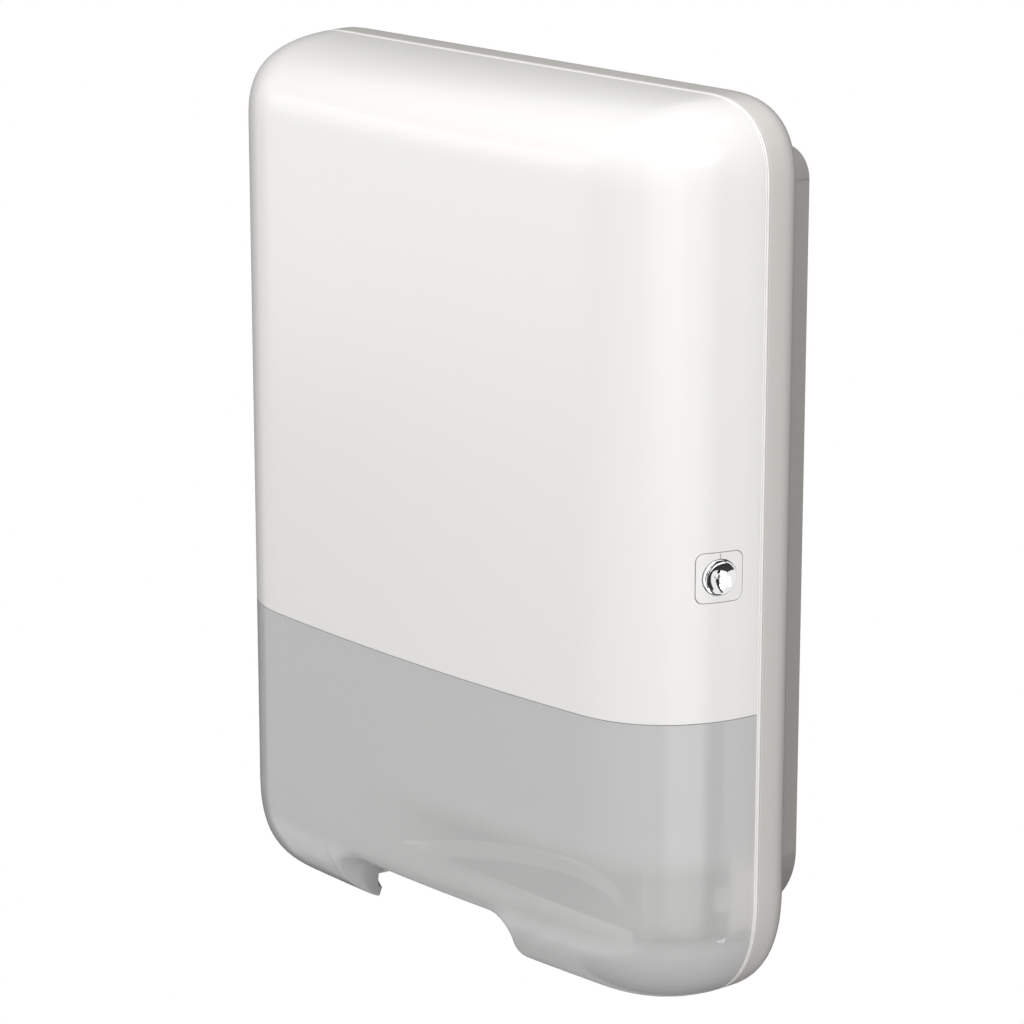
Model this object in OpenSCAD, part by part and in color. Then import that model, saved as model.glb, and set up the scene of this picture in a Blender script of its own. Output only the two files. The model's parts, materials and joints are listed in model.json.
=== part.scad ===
// Folded towel dispenser for a wall. A shallow casing carries the towel stack, and a domed
// cover closes over it on two side hinges, held by a quarter-turn lock on its right side.
// Millimetres, +X right, +Z up, the front faces -Y, origin at the centre of the wall face.

/* [Cover] */
// Width of the cover at its widest line
cover_w = 333; // [315:1:350]
// Height of the cover at its widest line
cover_h = 439; // [425:1:470]
// Depth from the wall to the front of the cover
cover_d = 136; // [130:1:146]
// Height of the origin above the cover's lowest line
cover_drop = 212; // [209:1:216]
// Thickness of the panel, the window and the frame
cover_wall = 3; // [2:0.1:3.5]
// Depth of the dome in front of the widest line, at its sides
front_bulge = 67.6; // [62:0.1:72]
// Extra depth of the dome at the middle of its width
front_crown = 10.6; // [4:0.1:14]
// Width of the rounding in from each side
side_round = 57.9; // [45:0.1:70]
// Height of the rounding down from the top
top_round = 35; // [25:0.5:45]
// Height of the rounding up from the bottom
bottom_round = 43.7; // [36:0.1:52]
// Fullness of the rounding, 2 is an ellipse and more is squarer
round_power = 2.34; // [2:0.02:3]
// Radius of the upper corners at the widest line
top_corner_r = 41.7; // [34:0.1:50]
// Radius of the lower corners at the widest line
bottom_corner_r = 62.3; // [52:0.1:70]
// Fullness of the corners, 2 is a circle and more is squarer
corner_power = 2.64; // [2:0.02:3]
// Radius of the corners where the front turns flat
front_corner_r = 6; // [5:0.5:12]
// Radius of the rim behind the widest line
rim_r = 16; // [13:0.5:17]
// Depth of the seam in front of the widest line
seam_depth = 11; // [9:0.1:14]
// Width of the beaded strip in the seam
trim_w = 3; // [2:0.1:4]
// Depth of the groove between the two beads
trim_groove = 0.7; // [0.3:0.1:1.2]
// Depth of the frame's inner ledge in front of the widest line
ledge_depth = 22; // [20:0.5:26]
// Thickness of the frame's inner ledge
ledge_wall = 2.5; // [1.5:0.1:3.5]
// Height of the window above the cover's lowest line
window_h = 152; // [140:1:165]

/* [Exit notch] */
// Half width of the notch in the lower front edge
notch_half_w = 57; // [48:1:64]
// Height of the notch above the cover's lowest line
notch_h = 34; // [28:1:38]
// Radius of the notch's upper corners
notch_corner_r = 9; // [6:1:14]
// Radius where the notch runs out into the lower edge
notch_lip_r = 18; // [10:1:22]
// Depth of the window's flange round the notch, back from the front of the dome
flange_d = 25; // [18:1:27]
// Half width of the opening in the cover's underside
under_half_w = 100; // [90:1:102]
// Depth over which that opening widens, back from the notch's flange
under_run = 32; // [26:1:34]

/* [Rear casing] */
// Width of the casing
casing_w = 254; // [246:1:258]
// Height of the casing
casing_h = 386; // [376:1:388]
// Height of the casing's lower edge above the cover's lowest line
casing_rise = 19; // [18:0.5:24]
// Radius of the casing's upper corners
casing_top_r = 15; // [10:1:24]
// Radius of the casing's lower corners
casing_bottom_r = 38; // [28:1:44]
// Thickness of the casing's side, top and bottom walls
casing_wall = 2.5; // [2:0.1:3]
// Thickness of the casing's back
casing_back = 3; // [2.5:0.1:4]
// Depth of the casing's top and bottom walls
casing_lip_d = 44; // [38:1:50]
// Depth of the casing's side walls, which hold the stack
magazine_d = 104; // [96:1:108]
// Distance from the casing's top down to the upper end of the deep side walls
magazine_top_gap = 20; // [16:1:40]
// Height of the stiffening ribs on the casing's back
rib_h = 1.2; // [0.6:0.1:1.4]
// Width of the stiffening ribs on the casing's back
rib_w = 2; // [1.5:0.1:3]
// Spacing of the stiffening ribs
rib_pitch = 50; // [46:1:52]

/* [Wall screw holes] */
// Distance between the wall screw holes across
wall_hole_x = 180; // [170:1:190]
// Distance between the wall screw holes up
wall_hole_z = 280; // [250:1:300]
// Diameter of the wall screw holes
wall_hole_d = 5.5; // [4.5:0.1:6.5]

/* [Stack shelf] */
// Height of the shelf's top above the cover's lowest line
shelf_h = 25; // [24.5:0.5:27]
// Thickness of the shelf
shelf_t = 2.5; // [2:0.1:3]
// Radius of the half-moon exit in the shelf and the casing's bottom
exit_r = 90; // [84:1:96]
// Distance from the wall to the back of the half-moon exit
exit_back = 29.5; // [27:0.5:33]
// Length of the shelf's two fixing tabs
shelf_tab_l = 44; // [36:1:48]
// Height of the shelf's two fixing tabs
shelf_tab_h = 7; // [6.5:0.5:8]
// Distance from the wall to the middle of the shelf's fixing tabs
shelf_tab_y = 74; // [72:1:76]

/* [Stack guides] */
// Height of the two stack guides
guide_h = 180; // [150:1:220]
// Width of the guide's front leg, across the stack
guide_w = 20; // [14:1:26]
// Depth of the guide's side leg
guide_d = 22; // [18:1:28]
// Thickness of the guides
guide_t = 2; // [1.5:0.1:2.4]
// Height of the guides' middle above the casing's centre
guide_z = 70; // [55:1:78]

/* [Hinges] */
// Distance from the cover's side in to the hinge axis
hinge_inset = 23.5; // [22:0.1:25]
// Distance from the widest line back to the hinge axis
hinge_back = 21.7; // [21:0.1:24]
// Height of the upper hinge above the casing's centre
upper_hinge_z = 140; // [120:1:150]
// Height of the lower hinge below the casing's centre
lower_hinge_z = 110; // [90:1:120]
// Diameter of the hinge pins
pin_d = 4; // [3.5:0.1:4.5]
// Diameter of the hinge knuckles
knuckle_d = 10.4; // [9:0.1:10.6]
// Diameter of the hinge pins' heads
pin_head_d = 6.4; // [5.5:0.1:8]
// Height of the hinge pins' heads
pin_head_h = 2; // [1.2:0.1:3]
// Height of the cover's knuckle between the bracket's ears
knuckle_h = 16; // [14:1:22]
// Thickness of the bracket's ears
ear_t = 4; // [3:0.1:6]
// Thickness of the plates screwed to the casing's sides
plate_t = 2.5; // [2:0.1:3.5]
// Height of the bracket's plate above and below its ears
bracket_tab = 12; // [9:1:16]
// Thickness of the foot that holds the cover's lug in the frame
foot_t = 3.2; // [2.5:0.1:4]

/* [Lock] */
// Height of the lock above the casing's centre
lock_z = 9.7; // [0:0.1:20]
// Depth of the lock's middle in front of the widest line
lock_depth = 33.4; // [32:0.1:40]
// Side of the rounded-square lock plate
lock_plate_w = 23.6; // [22.5:0.1:27]
// Corner radius of the lock plate
lock_plate_r = 3.8; // [3:0.1:6]
// Depth of the lock plate's block behind the surface
lock_block_d = 6.5; // [6:0.1:8]
// Diameter of the chrome dish
dish_d = 17; // [15.5:0.1:18]
// Depth of the chrome dish
dish_depth = 3; // [1.5:0.1:4]
// Width of the dish's flat edge
dish_edge = 0.8; // [0.5:0.1:1.2]
// Diameter of the barrel behind the dish
barrel_d = 12; // [10:0.1:13]
// Length of the lock from its surface to the back of its housing
lock_l = 24.8; // [24:0.1:25.6]
// Wall of the lock housing's tube
housing_wall = 2.5; // [2:0.1:3]
// Thickness of the lock housing's flange
flange_t = 3; // [2.5:0.1:4]
// Diameter of the pin in the middle of the dish
lock_pin_d = 2.4; // [1.8:0.1:3]
// Length of the pin in the middle of the dish
lock_pin_l = 6; // [5:0.1:7]
// Height of that pin above the bottom of the dish
lock_pin_proud = 1.2; // [0.6:0.1:1.6]
// Length of the cam from the lock's axis to its tip
cam_l = 16; // [14.5:0.5:17]
// Width of the cam
cam_w = 7; // [6:0.1:8]
// Diameter of the cam round its screw
cam_hub_d = 10.5; // [9:0.1:11.5]
// Thickness of the cam
cam_t = 2.5; // [2:0.1:3]
// Diameter of the cam's screw
cam_screw_d = 3.8; // [3:0.1:4.2]
// Diameter of the head of the cam's screw
cam_screw_head_d = 6.5; // [5.5:0.1:7.5]
// Height of the strike plate's lip
strike_lip_h = 9; // [7:0.5:10]
// Height of the strike plate's screwed base
strike_base_h = 26; // [22:1:32]
// Thickness of the strike plate's lip
strike_lip_t = 2.5; // [2:0.1:3]

/* [Fasteners and clips] */
// Diameter of the small screws' shanks
screw_d = 3; // [2.5:0.1:3.2]
// Diameter of the small screws' heads
screw_head_d = 6; // [5:0.1:6.4]
// Height of the small screws' heads
screw_head_h = 1.8; // [1.2:0.1:2]
// Diameter of the lock plate's screws
lock_screw_d = 2.2; // [1.8:0.1:2.4]
// Diameter of the heads of the lock plate's screws
lock_screw_head_d = 4; // [3.2:0.1:4.4]
// Height of the heads of the lock plate's screws
lock_screw_head_h = 0.9; // [0.6:0.1:1.2]
// Length of the clips along the frame
clip_l = 12; // [8:1:16]
// Thickness of the clips
clip_t = 2; // [1.5:0.1:3]

/* [Clearances] */
// Radial clearance of a pin or barrel that turns in its bore
run_gap = 0.05; // [0.02:0.01:0.09]
// Radial clearance of a screw or fixed pin in its hole
screw_gap = 0.05; // [0.03:0.01:0.1]
// Gap between fixed pieces that lie together
fit_gap = 0.1; // [0.05:0.01:0.2]
// Gap round a piece that turns or is set flush in a wider opening
turn_gap = 0.3; // [0.2:0.05:0.5]
// Gap between the locked cam and the strike plate's lip
latch_gap = 1.5; // [1:0.1:2.5]

/* [Hidden] */

$fn = 48;
over = 1;
white = "whitesmoke";
pale = "gainsboro";
grey = "darkgray";
steel = "silver";

// Steps of the dome's mesh
corner_steps = 10;
edge_steps = 8;
rise_steps = 10;
rim_steps = 6;

// Places that follow from the sizes
half_w = cover_w / 2;
cover_z0 = -cover_drop;
cover_z1 = cover_h - cover_drop;
rim_y = -(cover_d - front_bulge - front_crown);
split_z = cover_z0 + window_h;
casing_x = casing_w / 2;
casing_low = cover_z0 + casing_rise;
casing_high = casing_low + casing_h;
casing_mid = (casing_low + casing_high) / 2;
shelf_top = cover_z0 + shelf_h;
hinge_x = -half_w + hinge_inset;
hinge_y = rim_y + hinge_back;
hinge_heights = [casing_mid + upper_hinge_z, casing_mid - lower_hinge_z];
pin_r = pin_d / 2;
knuckle_r = knuckle_d / 2;
ear_span = knuckle_h + 2 * turn_gap + 2 * ear_t;
bracket_h = ear_span + 2 * bracket_tab;
ledge_inset = cover_wall + turn_gap;

// The dome rises from the widest line as th goes from 0 to 90 degrees
function share(th) = 1 - pow(cos(th), 2 / round_power);
function rise(th) = pow(sin(th), 2 / round_power);
function angle_at(depth) = asin(pow(depth / front_bulge, round_power / 2));
function full(v) = v <= 0 ? 0 : pow(v, 2 / corner_power);

// The dome's outline at th, drawn in by inset: half width, upper or lower edge, corner radius
function outline_w(th, inset) = half_w - side_round * share(th) - inset;
function outline_z(end, th, inset) = end > 0
    ? cover_z1 - top_round * share(th) - inset
    : cover_z0 + bottom_round * share(th) + inset;
function outline_r(end, th, inset) = let (
        r = end > 0 ? top_corner_r : bottom_corner_r
    ) max(1, r * (1 - share(th)) + front_corner_r * share(th) - inset);

// Distance of the dome's skin from the wall at x, before it is set back
function skin_y(x, th) = rim_y - front_bulge * rise(th)
    - front_crown * sin(th) * (1 - pow(x / half_w, 2));

// A station round the outline is [share of the flat edge, side, end, corner angle]
function skin(s, th, inset, back) = let (
        r = outline_r(s[2], th, inset),
        x = s[0] * (outline_w(th, inset) - r) + s[1] * r * full(cos(s[3])),
        z = outline_z(s[2], th, inset) - s[2] * r * (1 - full(sin(s[3])))
    ) [x, skin_y(x, th) + back, z];

// A point of the straight side at a height
function side_skin(side, th, inset, back, z) = let (
        x = side * outline_w(th, inset)
    ) [x, skin_y(x, th) + back, z];

// Stations from the right side over the upper or lower end to the left side
function arch(end) = concat(
    [for (i = [0 : corner_steps]) [1, 1, end, 90 * i / corner_steps]],
    [for (i = [1 : edge_steps - 1]) [1 - 2 * i / edge_steps, 1, end, 90]],
    [for (i = [0 : corner_steps]) [-1, -1, end, 90 - 90 * i / corner_steps]]);
arch_n = 2 * corner_steps + edge_steps + 1;
row_n = arch_n + 2;

function backwards(list) = [for (i = [len(list) - 1 : -1 : 0]) list[i]];
function halves(q) = [[q[0], q[1], q[2]], [q[0], q[2], q[3]]];

// One skin of half the dome, from the angle first to the front, and its flat front's cut edge
function half_skin(end, first, cut, inset) = let (
        stations = arch(end),
        rows = [for (i = [0 : rise_steps]) first + (90 - first) * i / rise_steps]
    ) concat(
        [for (th = rows) each concat(
            [side_skin(1, th, inset * cos(th), inset * sin(th), cut)],
            [for (s = stations) skin(s, th, inset * cos(th), inset * sin(th))],
            [side_skin(-1, th, inset * cos(th), inset * sin(th), cut)])],
        [for (i = [1 : arch_n - 2])
            let (p = skin(stations[i], 90, 0, inset)) [p[0], p[1], cut]]);

// Half of the dome as a closed shell, cut level at a height
module half_dome(end, first, cut, wall) {
    outer = half_skin(end, first, cut, 0);
    inner = half_skin(end, first, cut, wall);
    n = len(outer);
    last = rise_steps * row_n;
    // Number of the point below station k on the cut edge of the flat front
    function foot(k) = k == 1 ? last : k == arch_n ? last + row_n - 1 : last + row_n + k - 2;
    shell = [for (i = [0 : rise_steps - 1]) for (k = [0 : row_n - 2])
        [i * row_n + k, (i + 1) * row_n + k, (i + 1) * row_n + k + 1, i * row_n + k + 1]];
    front = [for (k = [1 : arch_n - 1]) [last + k, foot(k), foot(k + 1), last + k + 1]];
    skin_faces = concat(shell, front);
    seam = [for (k = [0 : row_n - 2]) [k, k + 1, n + k + 1, n + k]];
    edge = concat(
        [for (i = [0 : rise_steps]) i * row_n],
        [for (k = [2 : arch_n - 1]) foot(k)],
        [for (i = [rise_steps : -1 : 0]) i * row_n + row_n - 1]);
    cut_faces = [for (j = [0 : len(edge) - 2])
        [edge[j + 1], edge[j], n + edge[j], n + edge[j + 1]]];
    inner_faces = [for (q = skin_faces) [for (v = backwards(q)) v + n]];
    quads = concat(skin_faces, inner_faces, seam, cut_faces);
    faces = [for (q = quads) each halves(end > 0 ? q : backwards(q))];
    polyhedron(concat(outer, inner), faces);
}

// A closed section, [angle, inset, back] at each corner, swept round the whole outline
module outline_sweep(section) {
    stations = concat(arch(1), backwards(arch(-1)));
    n = len(stations);
    m = len(section);
    points = [for (s = stations) for (p = section) skin(s, p[0], p[1], p[2])];
    faces = [for (k = [0 : n - 1]) for (j = [0 : m - 1]) let (
            k2 = (k + 1) % n,
            j2 = (j + 1) % m
        ) each halves([k * m + j, k2 * m + j, k2 * m + j2, k * m + j2])];
    polyhedron(points, faces);
}

// A square with round corners, centred
module round_square(side, r) {
    square([side, side - 2 * r], center = true);
    square([side - 2 * r, side], center = true);
    for (x = [-1, 1]) for (y = [-1, 1])
        translate([x * (side / 2 - r), y * (side / 2 - r)]) circle(r);
}

// The casing's outline in the plane of the wall, drawn in by inset
module casing_outline(inset) {
    top_r = casing_top_r - inset;
    bottom_r = casing_bottom_r - inset;
    w = casing_x - inset;
    low = casing_low + inset;
    high = casing_high - inset;
    translate([-w, low + bottom_r]) square([2 * w, high - low - bottom_r - top_r]);
    translate([-w + top_r, casing_mid]) square([2 * (w - top_r), high - casing_mid]);
    translate([-w + bottom_r, low]) square([2 * (w - bottom_r), casing_mid - low]);
    for (side = [-1, 1]) {
        translate([side * (w - top_r), high - top_r]) circle(top_r);
        translate([side * (w - bottom_r), low + bottom_r]) circle(bottom_r);
    }
}

// Stands a drawing in the plane of the wall and pulls it forward from y0 to y1
module stand(y0, y1) {
    translate([0, -y0, 0]) rotate([90, 0, 0]) linear_extrude(y1 - y0) children();
}

// A screw with its head on top of the plane z = 0 and its shank below
module screw(d, l) {
    cylinder(h = screw_head_h, d = screw_head_d);
    translate([0, 0, -l]) cylinder(h = l + screw_head_h / 2, d = d);
}

// A hole for such a screw
module screw_hole(d, l) {
    translate([0, 0, -l]) cylinder(h = l + over, d = d + 2 * screw_gap);
}

// A flat seat for such a screw's head, cut into a hollow face
module screw_seat() {
    cylinder(h = screw_head_h + over, d = screw_head_d + 2 * fit_gap);
}

// Turns a screw so that its head points out along X on one side
module facing(side) {
    rotate([0, side * 90, 0]) children();
}

// The exit notch, widened by grow, as a body that runs from a depth out to the front
module notch(back, grow) {
    low = cover_z0;
    high = cover_z0 + notch_h + grow;
    w = notch_half_w + grow;
    corner_r = notch_corner_r + grow;
    lip_r = notch_lip_r - grow;
    lip_x = notch_half_w + notch_lip_r;
    stand(back, cover_d + over) {
        translate([-w, low - over]) square([2 * w, high - corner_r - low + over]);
        translate([-w + corner_r, low]) square([2 * (w - corner_r), high - low]);
        for (side = [-1, 1]) {
            translate([side * (w - corner_r), high - corner_r]) circle(corner_r);
            difference() {
                translate([side > 0 ? w - over : -lip_x, low - over])
                    square([lip_x - w + over, notch_lip_r + over]);
                translate([side * lip_x, low + notch_lip_r]) circle(lip_r);
            }
        }
    }
}

// The opening in the cover's underside, which widens back from the notch
module underside() {
    front = -cover_d + flange_d;
    wide = front + under_run;
    translate([0, 0, cover_z0 - over]) linear_extrude(rim_r + 2 * over) polygon([
        [-notch_half_w, front],
        [notch_half_w, front],
        [under_half_w, wide],
        [under_half_w, 0],
        [-under_half_w, 0],
        [-under_half_w, wide]]);
}

// Places of the fasteners
guide_screw_end = 20;
tab_screw_end = 8;
guide_mid = casing_mid + guide_z;
guide_screw_z = [for (s = [-1, 1]) guide_mid + s * (guide_h / 2 - guide_screw_end)];
guide_leg_x = casing_x - casing_wall - guide_t;
guide_screw_y = -magazine_d + guide_t + guide_d / 2;
tab_x = casing_x - casing_wall - shelf_t - fit_gap;
tab_z = shelf_top + shelf_tab_h / 2;
tab_screw_y = [for (s = [-1, 1]) -shelf_tab_y + s * (shelf_tab_l / 2 - tab_screw_end)];
bracket_screw_z = (ear_span + bracket_tab) / 2 * [-1, 1];
casing_screw_l = plate_t + casing_wall;

module guide_screw_places() {
    for (side = [-1, 1]) for (z = guide_screw_z)
        translate([side * guide_leg_x, guide_screw_y, z]) facing(-side) children();
}

module shelf_screw_places() {
    for (side = [-1, 1]) for (y = tab_screw_y)
        translate([side * tab_x, y, tab_z]) facing(-side) children();
}

module bracket_screw_places() {
    for (z = hinge_heights) for (dz = bracket_screw_z)
        translate([-casing_x - plate_t, hinge_y, z + dz]) facing(-1) children();
}

// The lock stands square to the dome's skin on the right side
lock_th = angle_at(lock_depth);
lock_power = 2 - 2 / round_power;
lock_turn = atan2(
    pow(sin(lock_th), lock_power) / front_bulge,
    pow(cos(lock_th), lock_power) / side_round);
lock_height = casing_mid + lock_z;
lock_at = side_skin(1, lock_th, 0, 0, lock_height);
cam_z = -lock_l - fit_gap;
cam_at = lock_at + (cam_z - cam_t / 2) * [cos(lock_turn), -sin(lock_turn), 0];
lock_screw_edge = 3.4;
lock_screw_at = lock_plate_w / 2 - lock_screw_edge;
lock_screw_bite = 3.2;
lock_screw_spare = 0.6;
block_lap = 0.6;
dish_r = dish_d / 2;
barrel_r = barrel_d / 2;
dish_top = 0.4;
dish_floor = dish_top - dish_depth;
lock_pin_z = dish_floor + lock_pin_proud - lock_pin_l;
head_z = -lock_block_d + turn_gap;
barrel_end = -lock_l;
cam_screw_bite = 7;
cam_screw_spare = 1;

// Moves to the lock, with Z out of the dome, X down and Y towards the wall
module at_lock() {
    translate(lock_at) rotate([0, 0, -lock_turn]) rotate([0, 90, 0]) children();
}

module lock_opening(side) {
    r = lock_plate_r + (side - lock_plate_w) / 2;
    at_lock() translate([0, 0, -lock_block_d - over])
        linear_extrude(lock_block_d + 6 * over) round_square(side, r);
}

// Room for the cam and its screw to turn, cut where a narrow cover brings them to the casing
module cam_room() {
    room_l = cam_t + screw_head_h + turn_gap;
    at_lock() translate([0, 0, cam_z - room_l]) cylinder(h = room_l, r = cam_l + turn_gap);
}

module lock_screw_places() {
    at_lock() for (s = [-1, 1])
        translate([s * lock_screw_at, s * lock_screw_at, -lock_block_d - flange_t])
            rotate([180, 0, 0]) children();
}

// Strike plate, on the casing's right side below the lock
strike_drop = 2;
strike_lip_top = lock_height - dish_r - strike_drop;
strike_lip_y = cam_at[1] - cam_w / 2 - latch_gap;
strike_tip_x = cam_at[0] + cam_t;
strike_base_w = 20;
strike_low = strike_lip_top - strike_base_h;
strike_screw_y = strike_lip_y + strike_base_w / 2;
strike_screw_z = strike_low + (strike_base_h - strike_lip_h) / 2;
strike_screw_dy = 6;

module strike_screw_places() {
    for (s = [-1, 1])
        translate([casing_x + plate_t, strike_screw_y + s * strike_screw_dy, strike_screw_z])
            facing(1) children();
}

// The lug's foot lies in the hollow of the rim, round this middle
rim_mid = [-half_w + rim_r, rim_y];
foot_r = rim_r - cover_wall - 2 * fit_gap;
lug_screw_dz = 5;
lug_screw_turn = 135;
lug_screw_cover = 0.9;
lug_screw_l = foot_t + 2 * fit_gap + cover_wall - lug_screw_cover;

module lug_screw_places() {
    for (z = hinge_heights) for (s = [-1, 1])
        translate([rim_mid[0], rim_mid[1], z + s * lug_screw_dz])
            rotate([0, 0, lug_screw_turn]) translate([foot_r - foot_t, 0, 0]) facing(-1) children();
}

// The half-moon through which the towels hang out of the casing
module exit_cut() {
    translate([0, -exit_back - exit_r, casing_low - over])
        cylinder(h = shelf_top - casing_low + 2 * over, r = exit_r, $fn = 96);
}

module rear_casing() {
    side_low = shelf_top - shelf_t / 2;
    side_high = casing_high - magazine_top_gap;
    rib_l = casing_h - casing_wall;
    color(pale) difference() {
        union() {
            stand(0, casing_back) casing_outline(0);
            difference() {
                stand(0, casing_lip_d) casing_outline(0);
                stand(-over, casing_lip_d + over) casing_outline(casing_wall);
            }
            for (side = [-1, 1])
                translate([side > 0 ? casing_x - casing_wall : -casing_x, -magazine_d, side_low])
                    cube([casing_wall, magazine_d - casing_lip_d + over, side_high - side_low]);
            for (i = [-1.5 : 1 : 1.5])
                translate([i * rib_pitch - rib_w / 2, -casing_back - rib_h, casing_mid - rib_l / 2])
                    cube([rib_w, rib_h + over, rib_l]);
        }
        for (x = [-1, 1]) for (z = [-1, 1])
            translate([x * wall_hole_x / 2, over, casing_mid + z * wall_hole_z / 2]) rotate([90, 0, 0])
                cylinder(h = casing_back + rib_h + 2 * over, d = wall_hole_d);
        guide_screw_places() screw_hole(screw_d, guide_t + casing_wall + over);
        shelf_screw_places() screw_hole(screw_d, shelf_t + casing_wall + over);
        bracket_screw_places() screw_hole(screw_d, casing_screw_l + over);
        strike_screw_places() screw_hole(screw_d, casing_screw_l + over);
        exit_cut();
        cam_room();
    }
}

module stack_shelf() {
    w = casing_x - casing_wall - fit_gap;
    back = casing_back + rib_h + fit_gap;
    front_l = magazine_d - casing_lip_d - fit_gap;
    below = max(0, casing_low + casing_bottom_r - shelf_top + shelf_t);
    inner_r = casing_bottom_r - casing_wall - fit_gap;
    back_w = casing_x - casing_bottom_r + sqrt(inner_r * inner_r - below * below);
    tab_low = shelf_top - shelf_t / 2;
    color(white) difference() {
        union() {
            translate([-w, -magazine_d, shelf_top - shelf_t]) cube([2 * w, front_l, shelf_t]);
            translate([-back_w, -magazine_d, shelf_top - shelf_t])
                cube([2 * back_w, magazine_d - back, shelf_t]);
            for (side = [-1, 1])
                translate([side > 0 ? tab_x : -w, -shelf_tab_y - shelf_tab_l / 2, tab_low])
                    cube([w - tab_x, shelf_tab_l, shelf_top + shelf_tab_h - tab_low]);
        }
        exit_cut();
        shelf_screw_places() screw_hole(screw_d, shelf_t + casing_wall + over);
    }
}

// A retainer along the front edge of one side wall, so the stack can't fall forward
module stack_guide(side) {
    x = casing_x - casing_wall;
    color(white) difference() {
        translate([0, 0, guide_mid - guide_h / 2]) linear_extrude(guide_h) {
            translate([side > 0 ? x - guide_w : -x, -magazine_d]) square([guide_w, guide_t]);
            translate([side > 0 ? guide_leg_x : -x, -magazine_d]) square([guide_t, guide_d + guide_t]);
        }
        guide_screw_places() screw_hole(screw_d, guide_t + casing_wall + over);
    }
}

module left_stack_guide() { stack_guide(-1); }

module right_stack_guide() { stack_guide(1); }

module guide_screws() {
    color(steel) guide_screw_places() screw(screw_d, guide_t + casing_wall);
}

module shelf_screws() {
    color(steel) shelf_screw_places() screw(screw_d, shelf_t + casing_wall);
}

// A plate on the casing's left side with two ears that hold a hinge pin
module hinge_bracket(z) {
    ear_z = [-ear_span / 2, ear_span / 2 - ear_t];
    color(pale) difference() {
        translate([0, 0, z]) union() {
            translate([-casing_x - plate_t, hinge_y - knuckle_r, -bracket_h / 2])
                cube([plate_t, knuckle_d, bracket_h]);
            for (low = ear_z) translate([0, 0, low]) {
                translate([hinge_x, hinge_y, 0]) cylinder(h = ear_t, r = knuckle_r);
                translate([hinge_x, hinge_y - knuckle_r, 0])
                    cube([-casing_x - plate_t / 2 - hinge_x, knuckle_d, ear_t]);
            }
        }
        translate([hinge_x, hinge_y, z - ear_span / 2 - over])
            cylinder(h = ear_span + 2 * over, r = pin_r + screw_gap);
        bracket_screw_places() screw_hole(screw_d, casing_screw_l + over);
    }
}

module upper_hinge_bracket() { hinge_bracket(hinge_heights[0]); }

module lower_hinge_bracket() { hinge_bracket(hinge_heights[1]); }

module bracket_screws() {
    color(steel) bracket_screw_places() screw(screw_d, casing_screw_l);
}

// A headed pin, dropped in from above
module hinge_pin(z) {
    color(steel) translate([hinge_x, hinge_y, z - ear_span / 2]) {
        cylinder(h = ear_span + pin_head_h / 2, r = pin_r);
        translate([0, 0, ear_span]) cylinder(h = pin_head_h, d = pin_head_d);
    }
}

module upper_hinge_pin() { hinge_pin(hinge_heights[0]); }

module lower_hinge_pin() { hinge_pin(hinge_heights[1]); }

module strike_plate() {
    color(steel) difference() {
        union() {
            translate([casing_x, strike_lip_y - strike_lip_t, strike_low])
                cube([plate_t, strike_base_w + strike_lip_t, strike_base_h]);
            translate([casing_x, strike_lip_y - strike_lip_t, strike_lip_top - strike_lip_h])
                cube([strike_tip_x - casing_x, strike_lip_t, strike_lip_h]);
        }
        strike_screw_places() screw_hole(screw_d, casing_screw_l + over);
    }
}

module strike_screws() {
    color(steel) strike_screw_places() screw(screw_d, casing_screw_l);
}

// Section of the cover's frame: the rim outside, and a ledge under the panel and the window
frame_first = angle_at(seam_depth - trim_w / 2);
ledge_th = angle_at(ledge_depth);
rim_angles = [for (i = [1 : rim_steps]) 90 * i / rim_steps];
frame_section = concat(
    [[frame_first, 0, 0], [frame_first / 2, 0, 0], [0, 0, 0]],
    [for (a = rim_angles) [0, rim_r * (1 - cos(a)), rim_r * sin(a)]],
    [for (a = backwards(rim_angles))
        [0, rim_r - (rim_r - cover_wall) * cos(a), (rim_r - cover_wall) * sin(a)]],
    [[0, cover_wall, 0],
     [ledge_th, ledge_inset + ledge_wall, 0],
     [ledge_th, ledge_inset, 0],
     [frame_first, ledge_inset, 0]]);

module cover_frame() {
    color(pale) difference() {
        outline_sweep(frame_section);
        underside();
        lock_opening(lock_plate_w + 2 * turn_gap);
        lug_screw_places() screw_hole(screw_d, lug_screw_l + fit_gap);
    }
}

// Section of the strip in the seam: two beads and the groove between them
trim_back = angle_at(seam_depth - trim_w / 2 + fit_gap);
trim_front = angle_at(seam_depth + trim_w / 2 - fit_gap);
trim_mid = (trim_back + trim_front) / 2;
bead_th = (trim_front - trim_back) / 8;
trim_section = [
    [trim_front, trim_groove / 2, 0],
    [trim_front - bead_th, 0, 0],
    [trim_mid + bead_th, 0, 0],
    [trim_mid, trim_groove, 0],
    [trim_mid - bead_th, 0, 0],
    [trim_back + bead_th, 0, 0],
    [trim_back, trim_groove / 2, 0],
    [trim_back, cover_wall, 0],
    [trim_front, cover_wall * cos(trim_front), cover_wall * sin(trim_front)]];

module seam_trim() {
    color(white) difference() {
        outline_sweep(trim_section);
        underside();
    }
}

panel_first = angle_at(seam_depth + trim_w / 2);

module front_panel() {
    color(white) difference() {
        half_dome(1, panel_first, split_z + fit_gap, cover_wall);
        lock_opening(lock_plate_w + 2 * turn_gap);
    }
}

// The window has a flange round the notch, where its edge turns in
module window() {
    high = split_z - fit_gap;
    color(grey, 0.8) difference() {
        union() {
            half_dome(-1, panel_first, high, cover_wall);
            intersection() {
                half_dome(-1, panel_first, high, flange_d);
                notch(cover_d - flange_d, cover_wall);
            }
        }
        notch(0, 0);
        underside();
    }
}

// A clip hooked behind the frame's ledge, its toe under the edge of the panel or the window
clip_toe = 8;
clip_heel = 7;
panel_clips_up = [100, 170, 240];
window_clips_down = [62, 90];

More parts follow.
